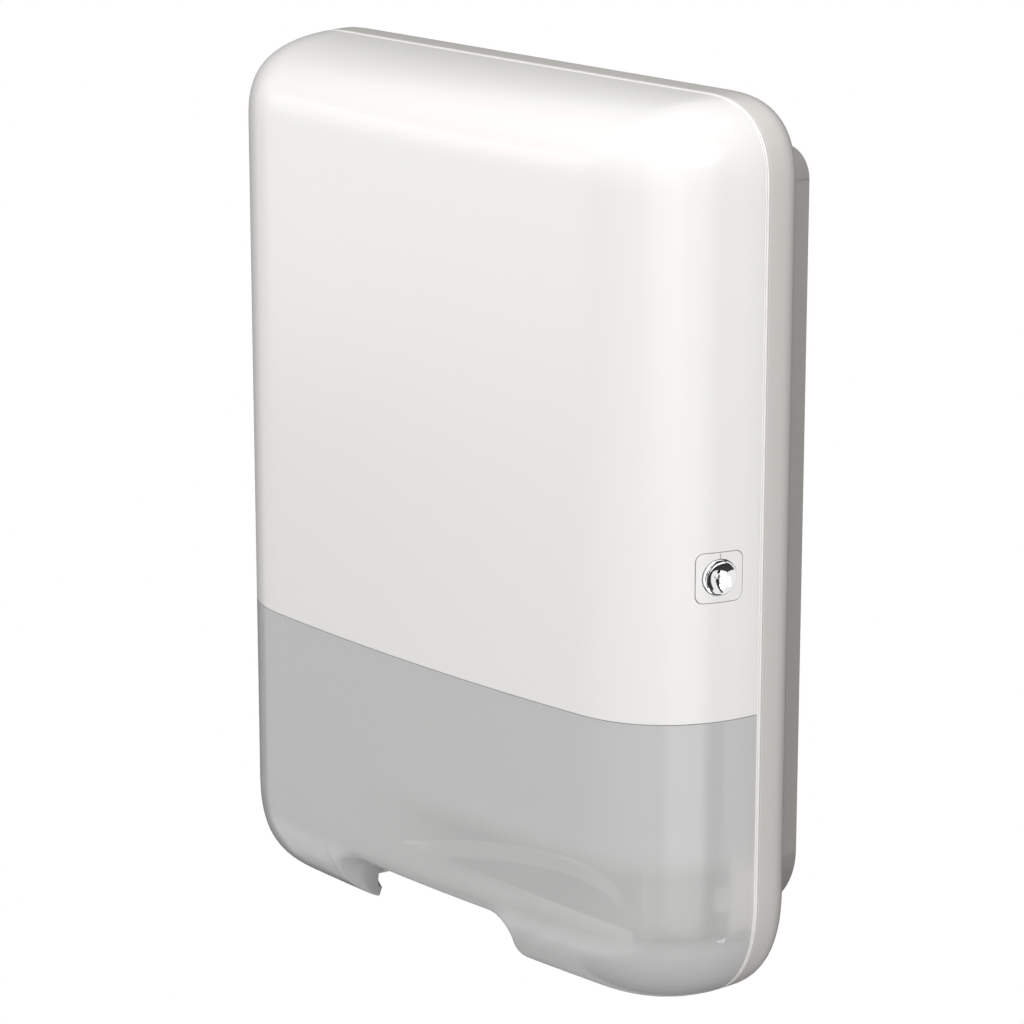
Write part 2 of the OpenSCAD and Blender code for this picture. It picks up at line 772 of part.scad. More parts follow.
function clip_point(side, depth, inset) = let (
        p = side_skin(side, angle_at(depth), inset, 0, 0)
    ) [p[0], p[1]];

module clip(side, z) {
    toe = ledge_depth + clip_toe;
    step = ledge_depth + fit_gap;
    heel = ledge_depth - clip_heel;
    low = ledge_inset + ledge_wall + turn_gap;
    high = cover_wall + 2 * turn_gap;
    outline = [
        clip_point(side, toe, high),
        clip_point(side, step, high),
        clip_point(side, step, low),
        clip_point(side, heel, low),
        clip_point(side, heel, low + clip_t),
        clip_point(side, step + clip_t, low + clip_t),
        clip_point(side, toe, high + clip_t)];
    translate([0, 0, z - clip_l / 2]) linear_extrude(clip_l) polygon(outline);
}

module panel_clips() {
    color(grey) for (side = [-1, 1])
        for (up = panel_clips_up) clip(side, split_z + up);
}

module window_clips() {
    color(grey) for (side = [-1, 1])
        for (down = window_clips_down) clip(side, split_z - down);
}

// A lug in the rim's hollow, with a knuckle that turns on the hinge pin
module cover_lug(z) {
    arm = foot_t;
    color(pale) difference() {
        translate([0, 0, z - knuckle_h / 2]) linear_extrude(knuckle_h) difference() {
            union() {
                translate([hinge_x, hinge_y]) circle(knuckle_r);
                translate([hinge_x - knuckle_r, hinge_y - arm]) square([knuckle_r, arm]);
                translate([rim_mid[0], rim_y + foot_r - foot_t])
                    square([hinge_x - rim_mid[0], foot_t]);
                translate([hinge_x - knuckle_r, rim_y + foot_r - foot_t])
                    square([arm, hinge_y - rim_y - foot_r + foot_t]);
                intersection() {
                    difference() {
                        translate(rim_mid) circle(foot_r);
                        translate(rim_mid) circle(foot_r - foot_t);
                    }
                    translate([rim_mid[0] - rim_r, rim_y]) square([rim_r, rim_r]);
                }
            }
            translate([hinge_x, hinge_y]) circle(pin_r + run_gap);
        }
        lug_screw_places() {
            screw_hole(screw_d, lug_screw_l + fit_gap);
            screw_seat();
        }
    }
}

module upper_cover_lug() { cover_lug(hinge_heights[0]); }

module lower_cover_lug() { cover_lug(hinge_heights[1]); }

module lug_screws() {
    color(steel) lug_screw_places() screw(screw_d, lug_screw_l);
}

// The flush plate round the lock: a piece of the dome's skin on a square block
module lock_plate() {
    color(white) difference() {
        union() {
            intersection() {
                half_dome(1, panel_first, split_z + fit_gap, cover_wall);
                lock_opening(lock_plate_w);
            }
            at_lock() translate([0, 0, -lock_block_d])
                linear_extrude(lock_block_d - cover_wall + block_lap)
                    round_square(lock_plate_w, lock_plate_r);
        }
        at_lock() translate([0, 0, -lock_block_d - over])
            cylinder(h = lock_block_d + 3 * over, r = dish_r + turn_gap);
        lock_screw_places()
            screw_hole(lock_screw_d, flange_t + lock_screw_bite + lock_screw_spare);
    }
}

module lock_housing() {
    tube_r = barrel_r + run_gap + housing_wall;
    color(grey) difference() {
        at_lock() difference() {
            union() {
                translate([0, 0, -lock_block_d - flange_t])
                    linear_extrude(flange_t) round_square(lock_plate_w, lock_plate_r);
                translate([0, 0, barrel_end])
                    cylinder(h = lock_l - lock_block_d - flange_t / 2, r = tube_r);
            }
            translate([0, 0, barrel_end - over])
                cylinder(h = lock_l, r = barrel_r + run_gap);
        }
        lock_screw_places() screw_hole(lock_screw_d, flange_t + over);
    }
}

module lock_screws() {
    color(steel) lock_screw_places() {
        cylinder(h = lock_screw_head_h, d = lock_screw_head_d);
        translate([0, 0, -flange_t - lock_screw_bite])
            cylinder(h = flange_t + lock_screw_bite + lock_screw_head_h / 2, d = lock_screw_d);
    }
}

// The chrome barrel with its dished face
module lock_barrel() {
    dish_steps = 10;
    bowl_r = dish_r - dish_edge;
    sphere_r = (bowl_r * bowl_r + dish_depth * dish_depth) / (2 * dish_depth);
    bowl_angle = asin(bowl_r / sphere_r);
    bowl = [for (i = [0 : dish_steps]) let (a = bowl_angle * i / dish_steps)
        [sphere_r * sin(a), dish_floor + sphere_r * (1 - cos(a))]];
    outline = concat(bowl, [
        [dish_r, dish_top - dish_edge / 2],
        [dish_r, head_z],
        [barrel_r, head_z],
        [barrel_r, barrel_end - fit_gap],
        [0, barrel_end - fit_gap]]);
    color(steel) at_lock() difference() {
        rotate_extrude() polygon(outline);
        translate([0, 0, lock_pin_z])
            cylinder(h = lock_pin_l + over, d = lock_pin_d + 2 * screw_gap);
        translate([0, 0, barrel_end - over])
            cylinder(h = over + cam_screw_bite + cam_screw_spare, d = cam_screw_d + 2 * screw_gap);
    }
}

module lock_pin() {
    color(steel) at_lock() translate([0, 0, lock_pin_z])
        cylinder(h = lock_pin_l, d = lock_pin_d);
}

// The cam at rest points back to the wall, clear of the strike plate
module lock_cam() {
    color(steel) at_lock() translate([0, 0, cam_z - cam_t]) linear_extrude(cam_t) difference() {
        union() {
            circle(d = cam_hub_d);
            translate([-cam_w / 2, 0]) square([cam_w, cam_l - cam_w / 2]);
            translate([0, cam_l - cam_w / 2]) circle(cam_w / 2);
        }
        circle(d = cam_screw_d + 2 * screw_gap);
    }
}

module cam_screw() {
    color(steel) at_lock() translate([0, 0, cam_z - cam_t]) rotate([180, 0, 0]) {
        cylinder(h = screw_head_h, d = cam_screw_head_d);
        translate([0, 0, -cam_t - cam_screw_bite])
            cylinder(h = cam_t + cam_screw_bite + screw_head_h / 2, d = cam_screw_d);
    }
}

rear_casing();
stack_shelf();
left_stack_guide();
right_stack_guide();
guide_screws();
shelf_screws();
upper_hinge_bracket();
lower_hinge_bracket();
bracket_screws();
upper_hinge_pin();
lower_hinge_pin();
strike_plate();
strike_screws();
cover_frame();
seam_trim();
front_panel();
window();
panel_clips();
window_clips();
upper_cover_lug();
lower_cover_lug();
lug_screws();
lock_plate();
lock_housing();
lock_screws();
lock_barrel();
lock_pin();
lock_cam();
cam_screw();
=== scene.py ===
import json
import math

import bmesh
import bpy
import numpy as np
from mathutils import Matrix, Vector

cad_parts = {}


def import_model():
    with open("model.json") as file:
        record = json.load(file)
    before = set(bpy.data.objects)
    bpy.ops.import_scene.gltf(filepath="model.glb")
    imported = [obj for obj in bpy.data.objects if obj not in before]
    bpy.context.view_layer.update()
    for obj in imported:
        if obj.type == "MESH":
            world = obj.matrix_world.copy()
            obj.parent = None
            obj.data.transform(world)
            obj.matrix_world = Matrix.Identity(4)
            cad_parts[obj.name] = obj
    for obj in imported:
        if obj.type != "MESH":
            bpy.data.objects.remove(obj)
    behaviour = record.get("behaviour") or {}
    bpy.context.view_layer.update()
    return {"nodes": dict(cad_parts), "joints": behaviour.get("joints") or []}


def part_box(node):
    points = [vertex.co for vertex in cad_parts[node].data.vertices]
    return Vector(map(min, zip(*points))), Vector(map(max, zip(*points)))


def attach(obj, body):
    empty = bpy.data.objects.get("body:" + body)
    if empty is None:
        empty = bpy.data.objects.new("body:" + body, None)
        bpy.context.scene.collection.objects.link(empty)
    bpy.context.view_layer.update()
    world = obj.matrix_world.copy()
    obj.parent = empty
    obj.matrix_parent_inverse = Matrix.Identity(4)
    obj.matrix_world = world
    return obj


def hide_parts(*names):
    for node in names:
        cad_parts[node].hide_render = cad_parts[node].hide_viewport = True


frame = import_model()

# Lengths below are in millimetres and angles in radians; meshes are made in metres.
MM = 0.001
QUARTER = math.pi / 2


def box_mm(node):
    """Lowest and highest corner of a CAD node."""
    low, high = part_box(node)
    return np.array(low) / MM, np.array(high) / MM


frame_low, frame_high = box_mm("cover_frame")
panel_low = box_mm("front_panel")[0]
window_high = box_mm("window")[1]
shelf_low = box_mm("stack_shelf")[0]
casing_low, casing_high = box_mm("rear_casing")
joints = {joint["name"]: joint for joint in frame["joints"]}

# The dome of the cover
HALF_W = frame_high[0]
COVER_LOW = frame_low[2]
COVER_HIGH = frame_high[2]
PANEL_CUT = panel_low[2]
WINDOW_CUT = window_high[2]
RIM_R = 16.0
RIM_Y = frame_high[1] - RIM_R
CROWN = 10.6
BULGE = RIM_Y - CROWN - panel_low[1]
SIDE_ROUND = 57.9
TOP_ROUND = 35.0
BOTTOM_ROUND = 43.7
ROUND_POWER = 2.34
TOP_CORNER_R = 41.7
BOTTOM_CORNER_R = 62.3
CORNER_POWER = 2.64
FRONT_CORNER_R = 6.0
LEAST_CORNER_R = 1.0
WALL = 3.0
EDGE_R = 0.35

# The seam between the frame and the panel
SEAM_DEPTH = 11.0
TRIM_W = 3.0
TRIM_GAP = 0.1
BEAD_DEPTH = 0.75
LEDGE_DEPTH = 22.0
LEDGE_INSET = 3.3
LEDGE_WALL = 2.5

# The exit notch, its rolled edge and the hem inside it
NOTCH_W = 57.0
NOTCH_H = 34.0
NOTCH_CORNER_R = 9.0
NOTCH_LIP_R = 18.0
ROLL_TOP_R = 11.0
ROLL_LOW_R = 0.8
ROLL_LOW_H = 8.0
ROLL_RUN = 22.0
LIP_H = 4.0
LEAST_FACING = 0.3
UNDER_W = 100.0
UNDER_RUN = 32.0
FLANGE_Y = panel_low[1] + 25.0
HEM_TOP = COVER_LOW + 42.5
HEM_HALF_W = 125.0
HEM_WALL = 1.8
HEM_CLEAR = 4.5
HEM_GAP = 1.0
HEM_DROP = 12.0
HEM_DROP_POWER = 3
HEM_ARCH_SHARES = (0, 0.5, 1)

# How dense the window is: below the hem, above it, and in the clearer band on the lock's side,
# which is also lighter in colour as painted light
CLEAR_START = (COVER_LOW + 36.0, COVER_LOW + 46.0)
CLEAR_END = (COVER_LOW + 74.0, COVER_LOW + 94.0)
CLEAR_SIDE = (-75.0, 45.0)
CLEAR_DROP = 0.37
CLEAR_PAINTED_LIGHT_COLOUR = (0.865, 0.865, 0.865)
LOW_ALPHA = 0.93
HIGH_ALPHA = 0.78

# The throat in the half-moon exit: a grey collar from the shelf's top down and a dark lip below it,
# both coloured dark as painted shade of the shadowed inside seen down through the exit
EXIT_R = 88.2
EXIT_BACK = 29.5
EXIT_FRONT = 68.0
THROAT_WALL = 1.6
SHELF_LOW = shelf_low[2]
SHELF_WALL = 2.5
COLLAR_TOP = SHELF_LOW + SHELF_WALL
COLLAR_LOW = -197.0
LIP_LOW = -211.0
LIP_LOW_R = 80.0
LIP_LEVEL_Y = -42.0
LIP_SLOPE = 0.54
LIP_LEAST = 1.0

# The webs in the casing's lower corners
CASING_CORNER_R = 38.0
WEB_LOW = SHELF_LOW + SHELF_WALL / 2
WEB_Y = -45.5
WEB_WALL = 1.5

# The lock on the right side
lock_joint = joints["lock_turn"]
LOCK_AT = np.array(lock_joint["pos_m"]) / MM
LOCK_OUT = -np.array(lock_joint["axis"])
LOCK_FORWARD = np.array([LOCK_OUT[1], -LOCK_OUT[0], 0.0])
LOCK_UP = np.array([0.0, 0.0, 1.0])
LOCK_SPAN = 0.9
LOCK_MARGIN = 5.0
LOCK_ZONE = 20.0
LOCK_CELL = 2.0
PLATE_HALF_W = 11.8
PLATE_R = 3.8
PLATE_GAP = 0.3
PLATE_DEPTH = 6.4
DISH_R = 8.5
DISH_EDGE = 0.8
DISH_TOP = 0.4
DISH_DEPTH = 3.0
DISH_POWER = 2.4
RIM_IN = 0.25
RIM_DROP = 0.1
RIM_CURL = 0.4
BARREL_R = 6.0
BARREL_HEAD = 6.2
BARREL_END = 24.9
MARK_W = 0.3
MARK_H = 0.03
MARK_INNER_GAP = 0.2
MARK_OUTER_GAP = 0.4
PIN_R = 1.2
PIN_GAP = 0.1
PIN_TOP = -1.4
PIN_LOW = -7.4
PIN_HOLE = 2.0
TIP_R = 0.4
AXIS_R = 0.01

# Heights where the straight sides of the panel and the window begin, and points that lie behind
# or inside a piece, from which its faces are turned away
PANEL_SIDE_TOP = 178.0
WINDOW_SIDE_LOW = -145.0
BEHIND_PANEL = (0, -40, 60)
BEHIND_WINDOW = (0, -60, -120)
BEHIND_LOCK = LOCK_AT - 20 * LOCK_OUT
IN_BARREL = LOCK_AT - 8 * LOCK_OUT

# Steps of the meshes
DOME_STEPS = 44
CORNER_STEPS = 24
MIDDLE_STEPS = 32
ABOVE_LOCK_STEPS = 17
BELOW_LOCK_STEPS = 7
WINDOW_SIDE_STEPS = 14
FLANGE_STEPS = 6
ROLL_STEPS = 10
REACH_STEPS = 18
HEM_ARCH_STEPS = 25
HEM_SIDE_STEPS = 30
HEM_HEIGHT_STEPS = 6
THROAT_STEPS = 61
WEB_STEPS = 13
FRAME_STEPS = 6
TRIM_STEPS = 10
RIM_STEPS = 14
LOOP_BOTTOM_STEPS = 4
LOOP_SIDE_STEPS = 24
LOOP_TOP_STEPS = 13
PLATE_CORNER_STEPS = 16
BOWL_STEPS = 22
TIP_STEPS = 7
MARK_STEPS = 6
TURN_STEPS = 96
PIN_TURN_STEPS = 32
FLOOR_STEPS = 97
HOLE_SHARES = (0, 0.08, 0.3, 0.6)
PLATE_SHARES = (0, 0.15, 0.4, 0.7, 0.9, 1)
PLATE_FIRST_TURN = 1e-4

# Points of the curves that are looked up by interpolation
LOCK_CURVE_POINTS = 400
SKIN_CURVE_POINTS = 600
NOTCH_SIDE_POINTS = 240
NOTCH_CORNER_POINTS = 60
SETTLE_ROUNDS = 4

# Distances in metres at which points of a mesh are merged, and angles in degrees of its edges
MERGE = 2e-6
SLIVER = 1e-7
WELD = 1e-6
SHARP_EDGE = 35
SHARP_TURNED_EDGE = 30
SOFT_EDGE = 40
SOFT_KEPT_EDGE = 50


# Formulas of the dome: th runs from 0 at the widest line to a quarter turn at the flat front
def share(th):
    return 1 - np.clip(np.cos(th), 0, 1) ** (2 / ROUND_POWER)


def rise(th):
    return np.clip(np.sin(th), 0, 1) ** (2 / ROUND_POWER)


def angle_at(depth):
    return np.arcsin((depth / BULGE) ** (ROUND_POWER / 2))


def full(v):
    return np.clip(v, 0, 1) ** (2 / CORNER_POWER)


def skin_y(x, th):
    return RIM_Y - BULGE * rise(th) - CROWN * np.sin(th) * (1 - (x / HALF_W) ** 2)


def half_width(th):
    return HALF_W - SIDE_ROUND * share(th)


def end_edge(end, th):
    """Height of the dome's upper or lower edge."""
    if end > 0:
        return COVER_HIGH - TOP_ROUND * share(th)
    return COVER_LOW + BOTTOM_ROUND * share(th)


def corner_r(end, th):
    r = TOP_CORNER_R if end > 0 else BOTTOM_CORNER_R
    return r * (1 - share(th)) + FRONT_CORNER_R * share(th)


def smooth(t):
    t = np.clip(t, 0, 1)
    return t * t * (3 - 2 * t)


def notch_x(h):
    """Half width of the notch at a height above the cover's lowest line."""
    low = np.clip(NOTCH_LIP_R - h, 0, NOTCH_LIP_R)
    return NOTCH_W + NOTCH_LIP_R - np.sqrt(NOTCH_LIP_R**2 - low**2)


def under_x(y):
    """Half width of the underside's opening, which widens back from the notch."""
    return NOTCH_W + (UNDER_W - NOTCH_W) * np.clip((y - FLANGE_Y) / UNDER_RUN, 0, 1)


FRAME_FIRST = angle_at(SEAM_DEPTH - TRIM_W / 2)
PANEL_FIRST = angle_at(SEAM_DEPTH + TRIM_W / 2)
ANGLES = np.linspace(PANEL_FIRST, QUARTER, DOME_STEPS + 1)
CORNER_ANGLES = QUARTER * (1 - smooth(np.linspace(0, 1, CORNER_STEPS + 1)))
FRONT_W = half_width(QUARTER)
FRONT_STRAIGHT = FRONT_W - FRONT_CORNER_R


class Surface:
    """Patches of points that are joined into one mesh."""

    def __init__(self):
        self.points = []
        self.faces = []

    def grid(self, rows, closed=False):
        """A patch with one row of points after another; closed joins each row's ends."""
        rows = np.asarray(rows, float)
        first = len(self.points)
        count, width = rows.shape[:2]
        self.points.extend(rows.reshape(-1, 3))
        for i in range(count - 1):
            for j in range(width if closed else width - 1):
                a = first + i * width + j
                b = first + i * width + (j + 1) % width
                self.faces.append((a, b, b + width, a + width))

    def fan(self, centre, ring):
        """Triangles from a centre to each step of a ring."""
        first = len(self.points)
        self.points.append(np.asarray(centre, float))
        self.points.extend(np.asarray(ring, float))
        for i in range(len(ring) - 1):
            self.faces.append((first, first + 1 + i, first + 2 + i))

    def cap(self, loop):
        """One face over a closed loop."""
        first = len(self.points)
        self.points.extend(np.asarray(loop, float))
        self.faces.append(tuple(range(first, first + len(loop))))


def build(name, surface, inside, sharp=SHARP_EDGE):
    """Makes the object of a surface, with its faces turned away from the point inside."""
    mesh = bpy.data.meshes.new(name)
    mesh.from_pydata([Vector(p) * MM for p in surface.points], [], surface.faces)
    work = bmesh.new()
    work.from_mesh(mesh)
    bmesh.ops.remove_doubles(work, verts=work.verts, dist=MERGE)
    bmesh.ops.dissolve_degenerate(work, edges=work.edges, dist=SLIVER)
    bmesh.ops.recalc_face_normals(work, faces=work.faces)
    middle = Vector(inside) * MM
    out = sum(f.normal.dot(f.calc_center_median() - middle) * f.calc_area() for f in work.faces)
    if out < 0:
        bmesh.ops.reverse_faces(work, faces=work.faces)
    work.to_mesh(mesh)
    work.free()
    mesh.shade_smooth()
    mesh.set_sharp_from_angle(angle=math.radians(sharp))
    piece = bpy.data.objects.new(name, mesh)
    bpy.context.scene.collection.objects.link(piece)
    return piece


def thicken(piece, wall):
    """Gives an open skin its wall, inwards."""
    modifier = piece.modifiers.new("wall", "SOLIDIFY")
    modifier.thickness = wall * MM
    modifier.offset = -1
    modifier.use_even_offset = True


def soften(piece, radius, limit=SOFT_EDGE):
    """Rounds the edges that turn by more than the limit, in degrees."""
    modifier = piece.modifiers.new("edges", "BEVEL")
    modifier.width = radius * MM
    modifier.segments = 2
    modifier.limit_method = "ANGLE"
    modifier.angle_limit = math.radians(limit)
    modifier.harden_normals = True


def place(piece, body, node, look):
    """The piece stands for a CAD node, moves with its body and has its look."""
    piece.data.materials.clear()
    piece.data.materials.append(look)
    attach(piece, body)
    if node:
        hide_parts(node)


# Materials: scales of their noise, how far the gloss varies, and the depth of the grain in metres
CLOUD_SCALE = 9
WIPE_SCALE = 14
PLATING_SCALE = 60
STREAK_SCALE = 900
PLASTIC_DETAIL = 2
METAL_DETAIL = 3
WIPE_SPREAD = 0.04
GRAIN_DEPTH = 0.00005


def shader(name):
    look = bpy.data.materials.new(name)
    look.use_nodes = True
    return look, look.node_tree.nodes, look.node_tree.links, look.node_tree.nodes["Principled BSDF"]


def noise(nodes, links, scale, detail):
    """Noise over the object's own coordinates, with features of about 1 / scale metres."""
    where = nodes.new("ShaderNodeTexCoord")
    texture = nodes.new("ShaderNodeTexNoise")
    texture.inputs["Scale"].default_value = scale
    texture.inputs["Detail"].default_value = detail
    links.new(where.outputs["Object"], texture.inputs["Vector"])
    return texture.outputs["Fac"]


def spread(nodes, links, value, low, high):
    """Maps noise to a range of values."""
    ramp = nodes.new("ShaderNodeMapRange")
    ramp.inputs["To Min"].default_value = low
    ramp.inputs["To Max"].default_value = high
    links.new(value, ramp.inputs["Value"])
    return ramp.outputs["Result"]


def tint(nodes, links, value, first, second):
    """Mixes two close colours by noise."""
    mix = nodes.new("ShaderNodeMix")
    mix.data_type = "RGBA"
    mix.inputs["A"].default_value = (*first, 1)
    mix.inputs["B"].default_value = (*second, 1)
    links.new(spread(nodes, links, value, 0, 1), mix.inputs["Factor"])
    return mix.outputs["Result"]


def bump(nodes, links, height, strength, distance, socket):
    node = nodes.new("ShaderNodeBump")
    node.inputs["Strength"].default_value = strength
    node.inputs["Distance"].default_value = distance
    links.new(height, node.inputs["Height"])
    links.new(node.outputs["Normal"], socket)


def plastic(name, first, second, rough, grain_size, grain, gloss=0.5):
    """Moulded plastic: faint cloudiness, a fine grain and an uneven gloss."""
    look, nodes, links, main = shader(name)
    cloud = noise(nodes, links, CLOUD_SCALE, PLASTIC_DETAIL)
    links.new(tint(nodes, links, cloud, first, second), main.inputs["Base Color"])
    wipe = noise(nodes, links, WIPE_SCALE, PLASTIC_DETAIL)
    gloss_range = rough * (1 - WIPE_SPREAD), rough * (1 + WIPE_SPREAD)
    links.new(spread(nodes, links, wipe, *gloss_range), main.inputs["Roughness"])
    fine = noise(nodes, links, 1 / (grain_size * MM), PLASTIC_DETAIL)
    bump(nodes, links, fine, grain, GRAIN_DEPTH, main.inputs["Normal"])
    main.inputs["Specular IOR Level"].default_value = gloss
    return look


def metal(name, first, second, rough, streak):
    """Plated metal with streaks of differing gloss."""
    look, nodes, links, main = shader(name)
    main.inputs["Metallic"].default_value = 1
    plating = noise(nodes, links, PLATING_SCALE, METAL_DETAIL)
    links.new(tint(nodes, links, plating, first, second), main.inputs["Base Color"])
    fine = noise(nodes, links, STREAK_SCALE, METAL_DETAIL)
    links.new(spread(nodes, links, fine, rough * (1 - streak), rough * (1 + streak)),
              main.inputs["Roughness"])
    return look


def by_place(nodes, links, axis, span, first, second):
    """A value that goes smoothly from first to second over a span of places, in millimetres."""
    where = nodes.new("ShaderNodeTexCoord")
    split = nodes.new("ShaderNodeSeparateXYZ")
    links.new(where.outputs["Object"], split.inputs["Vector"])
    ramp = nodes.new("ShaderNodeMapRange")
    ramp.interpolation_type = "SMOOTHSTEP"
    ramp.inputs["From Min"].default_value = span[0] * MM
    ramp.inputs["From Max"].default_value = span[1] * MM
    ramp.inputs["To Min"].default_value = first
    ramp.inputs["To Max"].default_value = second
    links.new(split.outputs[axis], ramp.inputs["Value"])
    return ramp.outputs["Result"]


def reckon(nodes, links, operation, first, second):
    """One sum, product or the like of two values."""
    node = nodes.new("ShaderNodeMath")
    node.operation = operation
    links.new(first, node.inputs[0])
    links.new(second, node.inputs[1])
    return node.outputs["Value"]


def smoke_window(name):
    """Grey see-through plastic: dense below the hem, clearer just above it on the lock's side,
    where its colour is also lighter as painted light.
    """
    look = plastic(name, (0.665, 0.667, 0.669), (0.671, 0.673, 0.675), 0.18, 1.2, 0.02, 0.9)
    nodes, links = look.node_tree.nodes, look.node_tree.links
    main = nodes["Principled BSDF"]
    band = reckon(nodes, links, "ADD", by_place(nodes, links, "Z", CLEAR_START, 0, 1),
                  by_place(nodes, links, "Z", CLEAR_END, 0, -1))
    clear = reckon(nodes, links, "MULTIPLY", band, by_place(nodes, links, "X", CLEAR_SIDE, 0, 1))
    mix = nodes.new("ShaderNodeMix")
    mix.data_type = "RGBA"
    links.new(main.inputs["Base Color"].links[0].from_socket, mix.inputs["A"])
    # The band's lighter colour is painted light; its lower alpha is real see-through.
    mix.inputs["B"].default_value = (*CLEAR_PAINTED_LIGHT_COLOUR, 1)
    links.new(clear, mix.inputs["Factor"])
    links.new(mix.outputs["Result"], main.inputs["Base Color"])
    thin = spread(nodes, links, clear, 0, CLEAR_DROP)
    dense = by_place(nodes, links, "Z", CLEAR_START, LOW_ALPHA, HIGH_ALPHA)
    links.new(reckon(nodes, links, "SUBTRACT", dense, thin), main.inputs["Alpha"])
    return look


# Each plastic's two colours, roughness, and size and strength of grain; a metal's, and its streaks
panel_look = plastic("panel_white", (0.862, 0.856, 0.845), (0.868, 0.862, 0.851), 0.24, 0.9, 0.03)
# The frame is the panel's white plastic; its colour is set darker as painted shade of the rim
# turning away from the light.
frame_painted_shade_look = plastic("frame_white_painted_shade", (0.655, 0.637, 0.615), (0.663, 0.645, 0.623), 0.28, 0.9, 0.03)
trim_look = plastic("trim_white", (0.870, 0.858, 0.838), (0.876, 0.864, 0.844), 0.26, 0.9, 0.02)
# The casing is white plastic like the frame; its colour is set dark grey as painted shade of its
# sides behind the overhanging rim.
casing_painted_shade_look = plastic("casing_painted_shade_grey", (0.380, 0.367, 0.352), (0.390, 0.377, 0.362), 0.40, 0.6, 0.12)
inner_look = plastic("inner_white", (0.800, 0.792, 0.776), (0.808, 0.800, 0.784), 0.40, 0.6, 0.12)
hem_look = plastic("hem_white", (0.910, 0.905, 0.895), (0.918, 0.913, 0.903), 0.40, 0.6, 0.12)
# The collar's grey and the lip's near black are painted shade of the shadowed exit.
collar_painted_shade_look = plastic("collar_painted_shade_grey", (0.340, 0.338, 0.334), (0.350, 0.348, 0.344), 0.40, 0.6, 0.12)
clip_look = plastic("clip_grey", (0.450, 0.446, 0.440), (0.460, 0.456, 0.450), 0.42, 0.6, 0.12)
window_look = smoke_window("window_smoke")
lip_painted_shade_look = plastic("lip_painted_shade_dark", (0.100, 0.100, 0.102), (0.110, 0.110, 0.112), 0.45, 0.6, 0.10)
chrome_look = metal("lock_chrome", (0.80, 0.80, 0.81), (0.84, 0.84, 0.85), 0.07, 0.4)
zinc_look = metal("lock_zinc", (0.50, 0.50, 0.51), (0.56, 0.56, 0.57), 0.45, 0.2)
bracket_look = metal("bracket_zinc", (0.62, 0.62, 0.63), (0.68, 0.68, 0.68), 0.34, 0.3)
pin_look = metal("pin_steel", (0.58, 0.58, 0.59), (0.63, 0.63, 0.64), 0.24, 0.3)
screw_look = metal("screw_zinc", (0.58, 0.58, 0.58), (0.66, 0.66, 0.65), 0.3, 0.3)
card_look = plastic("card_black", (0.02, 0.02, 0.02), (0.025, 0.025, 0.025), 0.8, 4, 0.05)
mark_look = plastic("lock_mark_grey", (0.20, 0.20, 0.21), (0.22, 0.22, 0.23), 0.5, 0.6, 0.1)


# Patches of the dome's skin
def front_points(x, z):
    x, z = np.broadcast_arrays(np.asarray(x, float), np.asarray(z, float))
    return np.stack([x, skin_y(x, QUARTER), z], -1)


def side_patch(end, side, heights):
    """One corner of the dome and the straight side next to it, a row for each angle."""
    rows = []
    for th in ANGLES:
        r = corner_r(end, th)
        x = half_width(th) - r + r * full(np.cos(CORNER_ANGLES))
        z = end_edge(end, th) - end * r * (1 - full(np.sin(CORNER_ANGLES)))
        x = side * np.append(x, np.full(len(heights), half_width(th)))
        rows.append(np.stack([x, skin_y(x, th), np.append(z, heights)], -1))
    return np.array(rows)


def front_strip(surface, end, side, heights):
    """The flat front's strip beside its straight middle, with the fan in its corner."""
    inner, outer = side * FRONT_STRAIGHT, side * FRONT_W
    turn = end_edge(end, QUARTER) - end * FRONT_CORNER_R
    z = np.append(turn, heights)
    surface.grid([front_points(inner, z), front_points(outer, z)])
    x = FRONT_STRAIGHT + FRONT_CORNER_R * full(np.cos(CORNER_ANGLES))
    arc = front_points(side * x, turn + end * FRONT_CORNER_R * full(np.sin(CORNER_ANGLES)))
    surface.fan(front_points(inner, turn), arc)


# The lock's own plane: up and forward from its middle, on the dome's side
lock_angles = np.linspace(PANEL_FIRST, angle_at(BULGE * LOCK_SPAN), LOCK_CURVE_POINTS)
lock_side = np.stack([half_width(lock_angles), skin_y(half_width(lock_angles), lock_angles)], -1)
lock_forward = (lock_side - LOCK_AT[:2]) @ LOCK_FORWARD[:2]


def side_points(up, forward):
    """Points of the dome's right side by their place in the lock's plane."""
    th = np.interp(forward, lock_forward, lock_angles)
    x = half_width(th)
    return np.stack([x, skin_y(x, th), LOCK_AT[2] + up], -1)


def plate_ring(angles, half_w, r):
    """A square with round corners, its points in the given directions."""
    turn = np.linspace(0, QUARTER, PLATE_CORNER_STEPS)
    quarter = (half_w - r) * (1 + 1j) + r * np.exp(1j * turn)
    loop = np.concatenate([quarter * 1j**k for k in range(4)])
    loop = loop[np.argsort(np.angle(loop))]
    ends = np.concatenate([loop[-1:], loop, loop[:1]])
    at = np.unwrap(np.angle(ends))
    at += 2 * math.pi * round((np.angle(loop[0]) - at[1]) / (2 * math.pi))
    directions = np.exp(1j * np.asarray(angles))
    result = []
    for direction in directions:
        k = np.searchsorted(at, np.angle(direction)) - 1
        k = min(max(k, 0), len(ends) - 2)
        step = ends[k + 1] - ends[k]
        reach = (ends[k] * step.conjugate()).imag / (direction * step.conjugate()).imag
        result.append(direction * reach)
    return np.array(result)


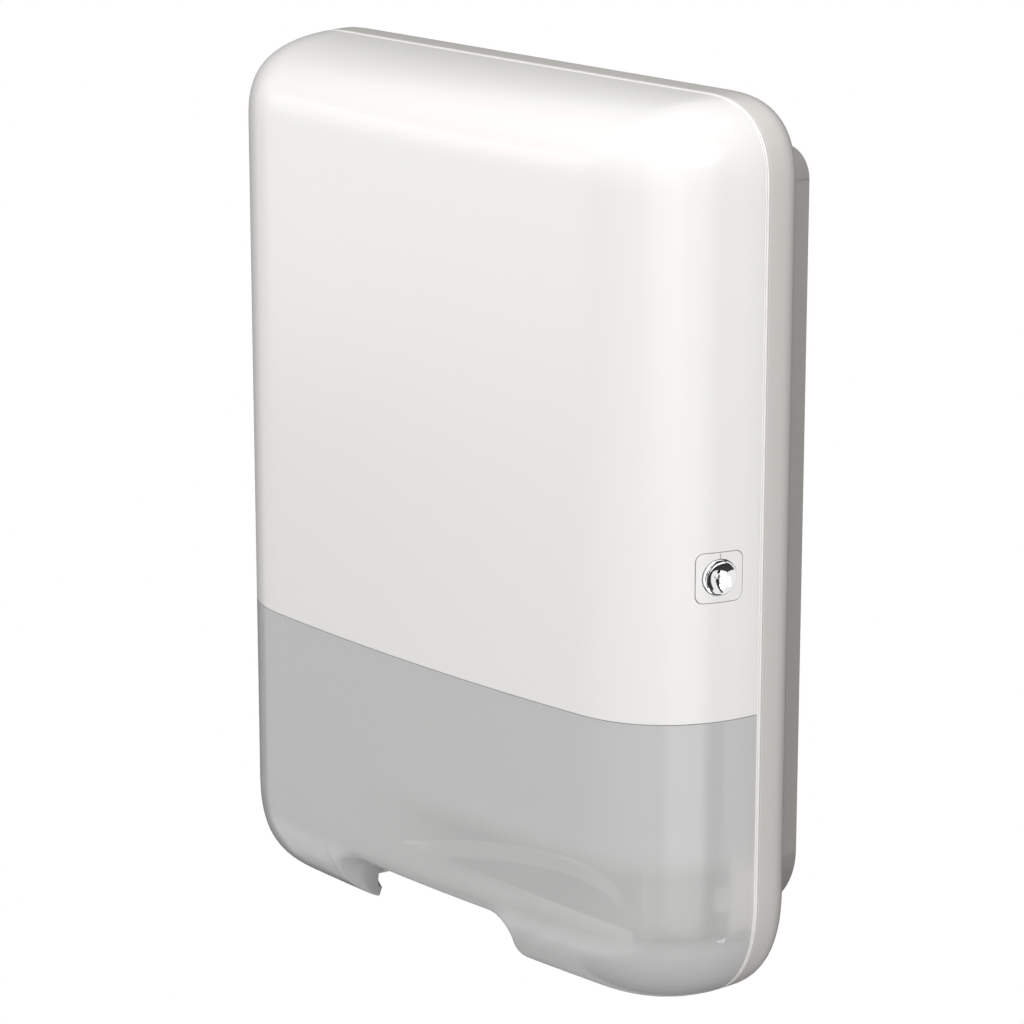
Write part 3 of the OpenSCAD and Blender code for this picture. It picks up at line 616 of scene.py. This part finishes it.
def side_with_lock(surface, patch):
    """The right side of the panel, with the lock's opening in place of some of its cells."""
    reach = PLATE_HALF_W + LOCK_MARGIN
    z = patch[0, :, 2]
    columns = np.nonzero(np.abs(z - LOCK_AT[2]) < reach)[0]
    forward = (patch[:, columns[0], :2] - LOCK_AT[:2]) @ LOCK_FORWARD[:2]
    rows = np.nonzero(np.abs(forward) < reach)[0]
    top, bottom = rows[0], rows[-1]
    left, right = columns[0], columns[-1]
    surface.grid(patch[: top + 1])
    surface.grid(patch[bottom:])
    surface.grid(patch[top : bottom + 1, : left + 1])
    surface.grid(patch[top : bottom + 1, right:])
    loop = [patch[top, j] for j in range(left, right)]
    loop += [patch[i, right] for i in range(top, bottom)]
    loop += [patch[bottom, j] for j in range(right, left, -1)]
    loop += [patch[i, left] for i in range(bottom, top, -1)]
    loop = np.array(loop)
    border = loop[:, 2] - LOCK_AT[2] + 1j * ((loop[:, :2] - LOCK_AT[:2]) @ LOCK_FORWARD[:2])
    hole = plate_ring(np.angle(border), PLATE_HALF_W + PLATE_GAP, PLATE_R + PLATE_GAP)
    steps = [hole + (border - hole) * t for t in HOLE_SHARES]
    rings = [side_points(ring.real, ring.imag) for ring in steps]
    surface.grid(rings + [loop], closed=True)


def front_panel():
    zone_end = LOCK_AT[2] - LOCK_ZONE - LOCK_CELL / 2
    lock_zone = np.arange(LOCK_AT[2] + LOCK_ZONE, zone_end, -LOCK_CELL)
    above = np.linspace(PANEL_SIDE_TOP, lock_zone[0], ABOVE_LOCK_STEPS)[:-1]
    below = np.linspace(lock_zone[-1], PANEL_CUT, BELOW_LOCK_STEPS)[1:]
    heights = np.concatenate([above, lock_zone, below])
    surface = Surface()
    side_with_lock(surface, side_patch(1, 1, heights))
    surface.grid(side_patch(1, -1, heights))
    for side in (1, -1):
        front_strip(surface, 1, side, heights)
    across = np.linspace(-1, 1, MIDDLE_STEPS + 1)
    rows = []
    for th in ANGLES:
        x = across * (half_width(th) - corner_r(1, th))
        rows.append(np.stack([x, skin_y(x, th), np.full_like(x, end_edge(1, th))], -1))
    turn = end_edge(1, QUARTER) - FRONT_CORNER_R
    for z in np.append(turn, heights):
        rows.append(front_points(across * FRONT_STRAIGHT, z))
    surface.grid(rows)
    piece = build("front_panel_skin", surface, BEHIND_PANEL)
    thicken(piece, WALL)
    soften(piece, EDGE_R)
    place(piece, "cover", "front_panel", panel_look)


# The window's lower middle, by its distance across and its distance up along the skin
up_angles = QUARTER - (QUARTER - PANEL_FIRST) * np.linspace(1, 0, SKIN_CURVE_POINTS) ** 2
up_heights = BOTTOM_ROUND * share(up_angles)
up_steps = np.hypot(np.diff(up_heights), np.diff(skin_y(0, up_angles)))
up_along = np.concatenate([[0], np.cumsum(up_steps)])
UP_FRONT = up_along[-1]
FRONT_H = up_heights[-1]


def lower_skin(x, along):
    th = np.interp(along, up_along, up_angles)
    z = COVER_LOW + BOTTOM_ROUND * share(th) + np.clip(along - UP_FRONT, 0, None)
    x = np.broadcast_to(x, z.shape)
    return np.stack([x, skin_y(x, th), z], -1)


def lower_normal(x, along):
    step = 0.05
    across = lower_skin(x + step, along) - lower_skin(x - step, along)
    up = lower_skin(x, along + step) - lower_skin(x, np.clip(along - step, 0, None))
    out = np.cross(across, up)
    return out / np.linalg.norm(out, axis=-1, keepdims=True)


def resample(line, count):
    """Points at even steps along a line."""
    run = np.concatenate([[0], np.cumsum(np.linalg.norm(np.diff(line, axis=0), axis=1))])
    at = np.linspace(0, run[-1], count)
    return np.stack([np.interp(at, run, line[:, k]) for k in range(line.shape[1])], -1)


def notch_edge(side_count, top_count):
    """The right half of the notch's edge, from the seam to the middle: [across, along the skin]."""
    side_up = np.interp(NOTCH_H - NOTCH_CORNER_R, up_heights, up_along)
    up = np.linspace(0, side_up, NOTCH_SIDE_POINTS)
    low = np.interp(up, up_along, up_heights)
    th = np.interp(up, up_along, up_angles)
    side_x = notch_x(low)
    for _ in range(SETTLE_ROUNDS):
        side_x = np.maximum(notch_x(low), under_x(skin_y(side_x, th)))
    turn = np.linspace(0, QUARTER, NOTCH_CORNER_POINTS)
    half_turn = len(turn) // 2
    x = np.concatenate([side_x, NOTCH_W - NOTCH_CORNER_R * (1 - np.cos(turn[1:])), [0]])
    h = np.concatenate([low, NOTCH_H - NOTCH_CORNER_R * (1 - np.sin(turn[1:])), [NOTCH_H]])
    line = np.stack([x, np.interp(h, up_heights, up_along)], -1)
    corner = len(low) + half_turn
    side = resample(line[: corner + 1], side_count)
    top = resample(line[corner:], top_count + 1)
    return np.concatenate([side, top[1:]])


def window_half(heights):
    """The right half of the window's middle, rows from the flange's back edge to its border."""
    border_x = np.concatenate([half_width(ANGLES) - corner_r(-1, ANGLES),
                               np.full(len(heights) + 1, FRONT_STRAIGHT)])
    turn = COVER_LOW + FRONT_H + FRONT_CORNER_R
    front_up = UP_FRONT + np.append(turn, heights) - (COVER_LOW + FRONT_H)
    border_up = np.concatenate([np.interp(ANGLES, up_angles, up_along), front_up])
    top_x = np.linspace(FRONT_STRAIGHT, 0, MIDDLE_STEPS // 2 + 1)[1:]
    border = np.stack([np.concatenate([border_x, top_x]),
                       np.concatenate([border_up, np.full(len(top_x), front_up[-1])])], -1)
    edge = notch_edge(len(border_x), len(top_x))
    along = np.gradient(edge, axis=0)
    away = np.stack([along[:, 1], -along[:, 0]], -1)
    away[-1] = (0, 1)
    away /= np.linalg.norm(away, axis=1, keepdims=True)
    h = np.interp(edge[:, 1], up_along, up_heights)
    roll = ROLL_LOW_R + (ROLL_TOP_R - ROLL_LOW_R) * smooth((h - ROLL_LOW_H) / ROLL_RUN)
    out = lower_normal(edge[:, 0], edge[:, 1])
    skin = lower_skin(edge[:, 0], edge[:, 1])
    to_flange = (FLANGE_Y - skin[:, 1]) / np.maximum(-out[:, 1], LEAST_FACING)
    reach = np.maximum(roll + LIP_H, to_flange)
    rows = []
    for t in np.linspace(1, 0, FLANGE_STEPS)[:-1]:
        rows.append(skin - out * (roll + (reach - roll) * t)[:, None])
    for phi in np.linspace(0, QUARTER, ROLL_STEPS):
        at = edge + away * (roll * (1 - math.cos(phi)))[:, None]
        normal = lower_normal(at[:, 0], at[:, 1])
        rows.append(lower_skin(at[:, 0], at[:, 1]) - normal * (roll * (1 - math.sin(phi)))[:, None])
    start = edge + away * roll[:, None]
    for t in np.linspace(0, 1, REACH_STEPS)[1:]:
        at = start + (border - start) * t
        rows.append(lower_skin(at[:, 0], at[:, 1]))
    return np.array(rows)


def window():
    heights = np.linspace(WINDOW_SIDE_LOW, WINDOW_CUT, WINDOW_SIDE_STEPS)
    surface = Surface()
    for side in (1, -1):
        surface.grid(side_patch(-1, side, heights))
        front_strip(surface, -1, side, heights)
        surface.grid(window_half(heights) * np.array([side, 1, 1]))
    piece = build("window_skin", surface, BEHIND_WINDOW)
    thicken(piece, WALL)
    soften(piece, EDGE_R)
    place(piece, "cover", "window", window_look)


def hem():
    """A low wall behind the window's lower front, above and beside the notch."""
    th = angle_at(RIM_Y - FLANGE_Y - CROWN / 2)
    r = corner_r(-1, th) - WALL
    straight = half_width(th) - WALL - r
    surface = Surface()
    for side in (1, -1):
        x = np.linspace(0, NOTCH_W + WALL, HEM_ARCH_STEPS)
        past = np.clip((x - NOTCH_W + NOTCH_CORNER_R) / NOTCH_CORNER_R, 0, 1)
        arch = NOTCH_H + WALL + HEM_CLEAR - HEM_DROP * past**HEM_DROP_POWER
        wall_rows = [COVER_LOW + arch + (HEM_TOP - COVER_LOW - arch) * t for t in HEM_ARCH_SHARES]
        surface.grid([np.stack([side * x, np.full_like(x, FLANGE_Y), z], -1) for z in wall_rows])
        x = np.linspace(NOTCH_W + WALL, HEM_HALF_W, HEM_SIDE_STEPS)
        turn = np.arccos(np.clip((x - straight) / r, 0, 1) ** (CORNER_POWER / 2))
        low = end_edge(-1, th) + WALL + HEM_GAP + r * (1 - full(np.sin(turn)))
        wall_rows = [low + (HEM_TOP - low) * t for t in np.linspace(0, 1, HEM_HEIGHT_STEPS)]
        surface.grid([np.stack([side * x, np.full_like(x, FLANGE_Y), z], -1) for z in wall_rows])
    piece = build("window_hem", surface, (0, 0, HEM_TOP))
    thicken(piece, HEM_WALL)
    soften(piece, EDGE_R)
    place(piece, "cover", None, hem_look)


def throat_ring(name, top, low_r, low, look):
    """A wall round the back of the exit, from its top to a lower edge."""
    middle = -EXIT_BACK - EXIT_R
    reach = math.acos((-EXIT_FRONT - middle) / EXIT_R)
    turn = np.linspace(-reach, reach, THROAT_STEPS)
    section = ((EXIT_R, top), (low_r, low), (low_r + THROAT_WALL, low), (EXIT_R + THROAT_WALL, top))
    columns = []
    for r, height in section:
        y = middle + r * np.cos(turn)
        columns.append(np.stack([r * np.sin(turn), y, height(y)], -1))
    rows = np.stack(columns, 1)
    surface = Surface()
    surface.grid(rows, closed=True)
    surface.cap(rows[0])
    surface.cap(rows[-1])
    piece = build(name, surface, (0, -EXIT_BACK, COLLAR_LOW))
    place(piece, "casing", None, look)


def collar_top(y):
    return np.full_like(y, COLLAR_TOP)


def collar_low(y):
    return np.full_like(y, COLLAR_LOW)


def lip_low(y):
    """The lip's lower edge is level at the back and rises to the front."""
    rising = LIP_LOW + LIP_SLOPE * np.clip(LIP_LEVEL_Y - y, 0, None)
    return np.minimum(rising, COLLAR_LOW - LIP_LEAST)


def corner_webs():
    """Flat webs that close the casing's lower corners behind its deep side walls."""
    first = math.asin((casing_low[2] + CASING_CORNER_R - WEB_LOW) / CASING_CORNER_R)
    turn = np.linspace(first, 0, WEB_STEPS)
    x = casing_high[0] - CASING_CORNER_R * (1 - np.cos(turn))
    z = casing_low[2] + CASING_CORNER_R * (1 - np.sin(turn))
    for name, side in (("right_corner_web", 1), ("left_corner_web", -1)):
        inner = np.stack([side * x, np.full_like(x, WEB_Y), z], -1)
        outer = inner.copy()
        outer[:, 0] = side * casing_high[0]
        surface = Surface()
        surface.grid([inner, outer])
        piece = build(name, surface, (0, 0, 0))
        thicken(piece, WEB_WALL)
        place(piece, "casing", None, casing_painted_shade_look)


# Pieces swept round the cover's outline
def loop_half(th, inset):
    """Right half of the outline at one point of a section, from the underside to the top."""
    w = half_width(th) - inset
    top_r = max(LEAST_CORNER_R, corner_r(1, th) - inset)
    low_r = max(LEAST_CORNER_R, corner_r(-1, th) - inset)
    top = end_edge(1, th) - inset
    low = end_edge(-1, th) + inset
    bottom_x = np.linspace(UNDER_W, w - low_r, LOOP_BOTTOM_STEPS)[:-1]
    low_turn = CORNER_ANGLES
    top_turn = CORNER_ANGLES[::-1]
    side_z = np.linspace(low + low_r, top - top_r, LOOP_SIDE_STEPS)[1:-1]
    top_x = np.linspace(w - top_r, 0, LOOP_TOP_STEPS)[1:]
    x = np.concatenate([bottom_x, w - low_r + low_r * full(np.cos(low_turn)),
                        np.full(len(side_z), w),
                        w - top_r + top_r * full(np.cos(top_turn)), top_x])
    z = np.concatenate([np.full(len(bottom_x), low),
                        low + low_r * (1 - full(np.sin(low_turn))), side_z,
                        top - top_r * (1 - full(np.sin(top_turn))), np.full(len(top_x), top)])
    return x, z


def sweep(name, section):
    """A closed section, (angle, inset, back) at each corner, swept round the cover's outline."""
    columns = []
    for th, inset, back in section:
        x, z = loop_half(th, inset)
        x = np.concatenate([x, -x[-2::-1]])
        z = np.concatenate([z, z[-2::-1]])
        columns.append(np.stack([x, skin_y(x, th) + back, z], -1))
    rows = np.stack(columns, 1)
    surface = Surface()
    surface.grid(rows, closed=True)
    surface.cap(rows[0])
    surface.cap(rows[-1])
    return build(name, surface, (0, RIM_Y, 0))


def cover_frame():
    turns = np.linspace(0, QUARTER, RIM_STEPS + 1)[1:]
    ledge = angle_at(LEDGE_DEPTH)
    section = [(th, 0, 0) for th in np.linspace(FRAME_FIRST, 0, FRAME_STEPS)]
    section += [(0, RIM_R * (1 - math.cos(a)), RIM_R * math.sin(a)) for a in turns]
    inner = RIM_R - WALL
    section += [(0, RIM_R - inner * math.cos(a), inner * math.sin(a)) for a in turns[::-1]]
    section += [(0, WALL, 0), (ledge, LEDGE_INSET + LEDGE_WALL, 0), (ledge, LEDGE_INSET, 0),
                (FRAME_FIRST, LEDGE_INSET, 0)]
    piece = sweep("cover_frame_rim", section)
    soften(piece, EDGE_R)
    place(piece, "cover", "cover_frame", frame_painted_shade_look)


def seam_trim():
    """A strip with two round beads and the grooves beside them."""
    back = SEAM_DEPTH - TRIM_W / 2 + TRIM_GAP
    front = SEAM_DEPTH + TRIM_W / 2 - TRIM_GAP
    section = []
    for bead in (0, 1):
        for t in np.linspace(-1, 1, TRIM_STEPS + 1)[: TRIM_STEPS + bead]:
            depth = front - (front - back) * (bead + (t + 1) / 2) / 2
            section.append((angle_at(depth), BEAD_DEPTH * (1 - math.sqrt(1 - t * t)), 0))
    section += [(angle_at(back), WALL, 0), (angle_at(front), WALL, 0)]
    piece = sweep("seam_trim_beads", section)
    place(piece, "cover", "seam_trim", trim_look)


# The lock
def lock_points(up, forward, out):
    up, forward, out = np.broadcast_arrays(*[np.asarray(v, float) for v in (up, forward, out)])
    level = up[..., None] * LOCK_UP + forward[..., None] * LOCK_FORWARD
    return LOCK_AT + level + out[..., None] * LOCK_OUT


def lathe(name, profile, steps):
    """A profile of (radius, height) turned about the lock's axis."""
    turn = np.linspace(0, 2 * math.pi, steps, endpoint=False)
    rings = [lock_points(r * np.cos(turn), r * np.sin(turn), out) for r, out in profile]
    surface = Surface()
    surface.grid(rings, closed=True)
    return build(name, surface, IN_BARREL, SHARP_TURNED_EDGE)


def lock_plate():
    turn = np.linspace(-math.pi, math.pi, TURN_STEPS, endpoint=False) + PLATE_FIRST_TURN
    outer = plate_ring(turn, PLATE_HALF_W, PLATE_R)
    inner = (DISH_R + PLATE_GAP) * np.exp(1j * turn)
    rings = [inner + (outer - inner) * t for t in PLATE_SHARES]
    surface = Surface()
    surface.grid([side_points(ring.real, ring.imag) for ring in rings], closed=True)
    piece = build("lock_plate_skin", surface, BEHIND_LOCK)
    thicken(piece, PLATE_DEPTH)
    soften(piece, EDGE_R)
    place(piece, "cover", "lock_plate", panel_look)


def lock_barrel():
    bowl_r = DISH_R - DISH_EDGE
    bowl_low = DISH_TOP - DISH_DEPTH
    hole_r = PIN_R + PIN_GAP
    profile = [(hole_r, bowl_low - PIN_HOLE), (hole_r, bowl_low)]
    for r in np.linspace(hole_r, bowl_r, BOWL_STEPS)[1:]:
        profile.append((r, bowl_low + DISH_DEPTH * (r / bowl_r) ** DISH_POWER))
    profile += [(DISH_R - RIM_IN, DISH_TOP - RIM_DROP), (DISH_R, DISH_TOP - RIM_CURL),
                (DISH_R, -BARREL_HEAD), (BARREL_R, -BARREL_HEAD), (BARREL_R, -BARREL_END),
                (AXIS_R, -BARREL_END)]
    piece = lathe("lock_barrel_dish", profile, TURN_STEPS)
    place(piece, "lock", "lock_barrel", chrome_look)


def lock_pin():
    profile = [(AXIS_R, PIN_LOW), (PIN_R, PIN_LOW), (PIN_R, PIN_TOP - TIP_R)]
    for a in np.linspace(0, QUARTER, TIP_STEPS)[1:]:
        profile.append((PIN_R - TIP_R * (1 - math.cos(a)), PIN_TOP - TIP_R * (1 - math.sin(a))))
    profile.append((AXIS_R, PIN_TOP))
    piece = lathe("lock_pin_tip", profile, PIN_TURN_STEPS)
    place(piece, "lock", "lock_pin", pin_look)


def lock_mark():
    """A fine line above the dish, where the lock stands open."""
    low = DISH_R + PLATE_GAP + MARK_INNER_GAP
    up = np.linspace(low, PLATE_HALF_W - MARK_OUTER_GAP, MARK_STEPS)
    line = np.stack([side_points(up, np.full_like(up, side)) for side in (-MARK_W / 2, MARK_W / 2)])
    surface = Surface()
    surface.grid(line + LOCK_OUT * MARK_H)
    piece = build("lock_mark", surface, BEHIND_LOCK)
    thicken(piece, 2 * MARK_H)
    place(piece, "cover", None, mark_look)


# CAD nodes that keep their own shape: their look, the radius of their edges and their names
KEPT = (
    (casing_painted_shade_look, 0.6, ("rear_casing",)),
    (inner_look, 0.4, ("stack_shelf", "left_stack_guide", "right_stack_guide")),
    (bracket_look, 0.3, ("upper_hinge_bracket", "lower_hinge_bracket", "upper_cover_lug",
                         "lower_cover_lug", "strike_plate", "lock_cam")),
    (pin_look, 0.3, ("upper_hinge_pin", "lower_hinge_pin")),
    (clip_look, 0.3, ("panel_clips", "window_clips")),
    (zinc_look, 0.3, ("lock_housing",)),
    (screw_look, 0.25, ("guide_screws", "shelf_screws", "bracket_screws", "strike_screws",
                        "lug_screws", "cam_screw")),
    (screw_look, 0.15, ("lock_screws",)),
)


def dress_kept_nodes():
    for look, radius, names in KEPT:
        for name in names:
            piece = frame["nodes"][name]
            for k in range(len(piece.material_slots)):
                piece.material_slots[k].material = look
            weld = piece.modifiers.new("weld", "WELD")
            weld.merge_threshold = WELD
            soften(piece, radius, SOFT_KEPT_EDGE)


# Studio: the camera and the floor are placed in metres and degrees, the rest in millimetres
CAMERA_AT = (1.39067, -1.35173, 0.5272)
CAMERA_TILT = 74.537
CAMERA_TURN = 47.387
CAMERA_LENS = 140.64
SENSOR_W = 36
FAR_CLIP = 50
FLOOR_Z = -1.1
FLOOR_R = 1.2
PATCH_HALF_W = 110.0
PATCH_HALF_H = 165.0
PATCH_Y = 1.0
AMBIENT = (0.25, 0.245, 0.238)

# Each lamp's name, azimuth, elevation, distance and size in metres, and power in watts
LAMPS = (
    ("upper_front", -5, 62, 2.0, (1.6, 1.6), 15.5),
    ("right", 46, 10, 2.0, (1.0, 1.6), 8),
    ("edge", 67, -12, 2.0, (1.05, 1.7), 5.8),
    ("strip", 76, 32, 2.0, (0.8, 0.8), 12.5),
    ("top", 0, 88, 1.8, (1.6, 1.6), 4.5),
    ("left", -45, 10, 2.0, (1.5, 1.5), 12),
)

# Each dark card's name, azimuth, elevation, distance, width and height, and if only mirrors show it
CARDS = (
    ("left_card", -115, 0, 800, 1100, 1600, False),
    ("back_card", 180, 0, 320, 900, 1100, False),
    ("rear_card", 140, -10, 900, 700, 1400, False),
    ("dish_card", 88, 4, 1000, 220, 2500, True),
    ("low_card", 91, -76, 900, 1700, 1500, True),
)


def camera():
    lens = bpy.data.cameras.new("camera")
    lens.lens = CAMERA_LENS
    lens.sensor_width = SENSOR_W
    lens.clip_end = FAR_CLIP
    eye = bpy.data.objects.new("camera", lens)
    eye.location = CAMERA_AT
    eye.rotation_euler = (math.radians(CAMERA_TILT), 0, math.radians(CAMERA_TURN))
    bpy.context.scene.collection.objects.link(eye)
    bpy.context.scene.camera = eye


def soft_light(name, azimuth, elevation, distance, size, power):
    """A soft box that faces the object; azimuth 0 is in front and grows to the right."""
    light = bpy.data.lights.new(name, "AREA")
    light.shape = "RECTANGLE"
    light.size, light.size_y = size
    light.energy = power
    lamp = bpy.data.objects.new(name, light)
    a, e = math.radians(azimuth), math.radians(elevation)
    spot = Vector((math.sin(a) * math.cos(e), -math.cos(a) * math.cos(e), math.sin(e))) * distance
    lamp.location = spot
    lamp.rotation_euler = (-spot).to_track_quat("-Z", "Y").to_euler()
    bpy.context.scene.collection.objects.link(lamp)


def world(ambient):
    """White behind the object, and in its reflections, with a low and warm ambient light."""
    sky = bpy.data.worlds.new("studio")
    bpy.context.scene.world = sky
    sky.use_nodes = True
    nodes, links = sky.node_tree.nodes, sky.node_tree.links
    back = nodes["Background"]
    path = nodes.new("ShaderNodeLightPath").outputs
    seen = reckon(nodes, links, "MAXIMUM", path["Is Camera Ray"], path["Is Transmission Ray"])
    bright = reckon(nodes, links, "MAXIMUM", seen, path["Is Glossy Ray"])
    mix = nodes.new("ShaderNodeMix")
    mix.data_type = "RGBA"
    mix.inputs["A"].default_value = (*ambient, 1)
    mix.inputs["B"].default_value = (1, 1, 1, 1)
    links.new(bright, mix.inputs["Factor"])
    links.new(mix.outputs["Result"], back.inputs["Color"])


def card(name, azimuth, elevation, distance, width, height, mirrored_only):
    """A dark card that faces the object, unseen by the camera, or there for reflections alone."""
    a, e = math.radians(azimuth), math.radians(elevation)
    level = np.array([math.sin(a), -math.cos(a), 0])
    ahead = (level * math.cos(e) + (0, 0, math.sin(e))) * distance
    across = np.array([math.cos(a), math.sin(a), 0]) * width / 2
    upward = (np.array([0, 0, math.cos(e)]) - level * math.sin(e)) * height / 2
    surface = Surface()
    surface.grid([[ahead - across + v, ahead + across + v] for v in (-upward, upward)])
    piece = build(name, surface, 2 * ahead)
    piece.data.materials.append(card_look)
    piece.visible_camera = False
    if mirrored_only:
        piece.visible_diffuse = False
        piece.visible_shadow = False
        piece.visible_transmission = False


def wall_patch():
    """The wall just behind the casing, which the front shows only through the screw holes."""
    surface = Surface()
    heights = (-PATCH_HALF_H, PATCH_HALF_H)
    surface.grid([[(-PATCH_HALF_W, PATCH_Y, z), (PATCH_HALF_W, PATCH_Y, z)] for z in heights])
    piece = build("wall_patch", surface, (0, 2 * PATCH_Y, 0))
    # The patch takes the casing's colour, which is darkened as painted shade.
    piece.data.materials.append(casing_painted_shade_look)


def floor():
    surface = Surface()
    turn = np.linspace(0, 2 * math.pi, FLOOR_STEPS)
    ring = np.stack([np.cos(turn), np.sin(turn), np.zeros_like(turn)], -1) * FLOOR_R / MM
    surface.fan((0, 0, 0), ring)
    piece = build("floor", surface, (0, 0, -1))
    piece.location = (0, 0, FLOOR_Z)
    look = plastic("floor_pale", (0.80, 0.80, 0.80), (0.82, 0.82, 0.82), 0.7, 4, 0.05)
    piece.data.materials.append(look)


front_panel()
window()
hem()
# Collar and lip carry painted shade: the dark inside of the exit seen through the window.
throat_ring("exit_collar_painted_shade", collar_top, EXIT_R, collar_low, collar_painted_shade_look)
throat_ring("exit_lip_painted_shade", collar_low, LIP_LOW_R, lip_low, lip_painted_shade_look)
corner_webs()
cover_frame()
seam_trim()
lock_plate()
lock_barrel()
lock_pin()
lock_mark()
dress_kept_nodes()
camera()
world(AMBIENT)
for lamp in LAMPS:
    soft_light(*lamp)
for dark_card in CARDS:
    card(*dark_card)
wall_patch()
floor()

bpy.context.scene.view_settings.view_transform = "Standard"
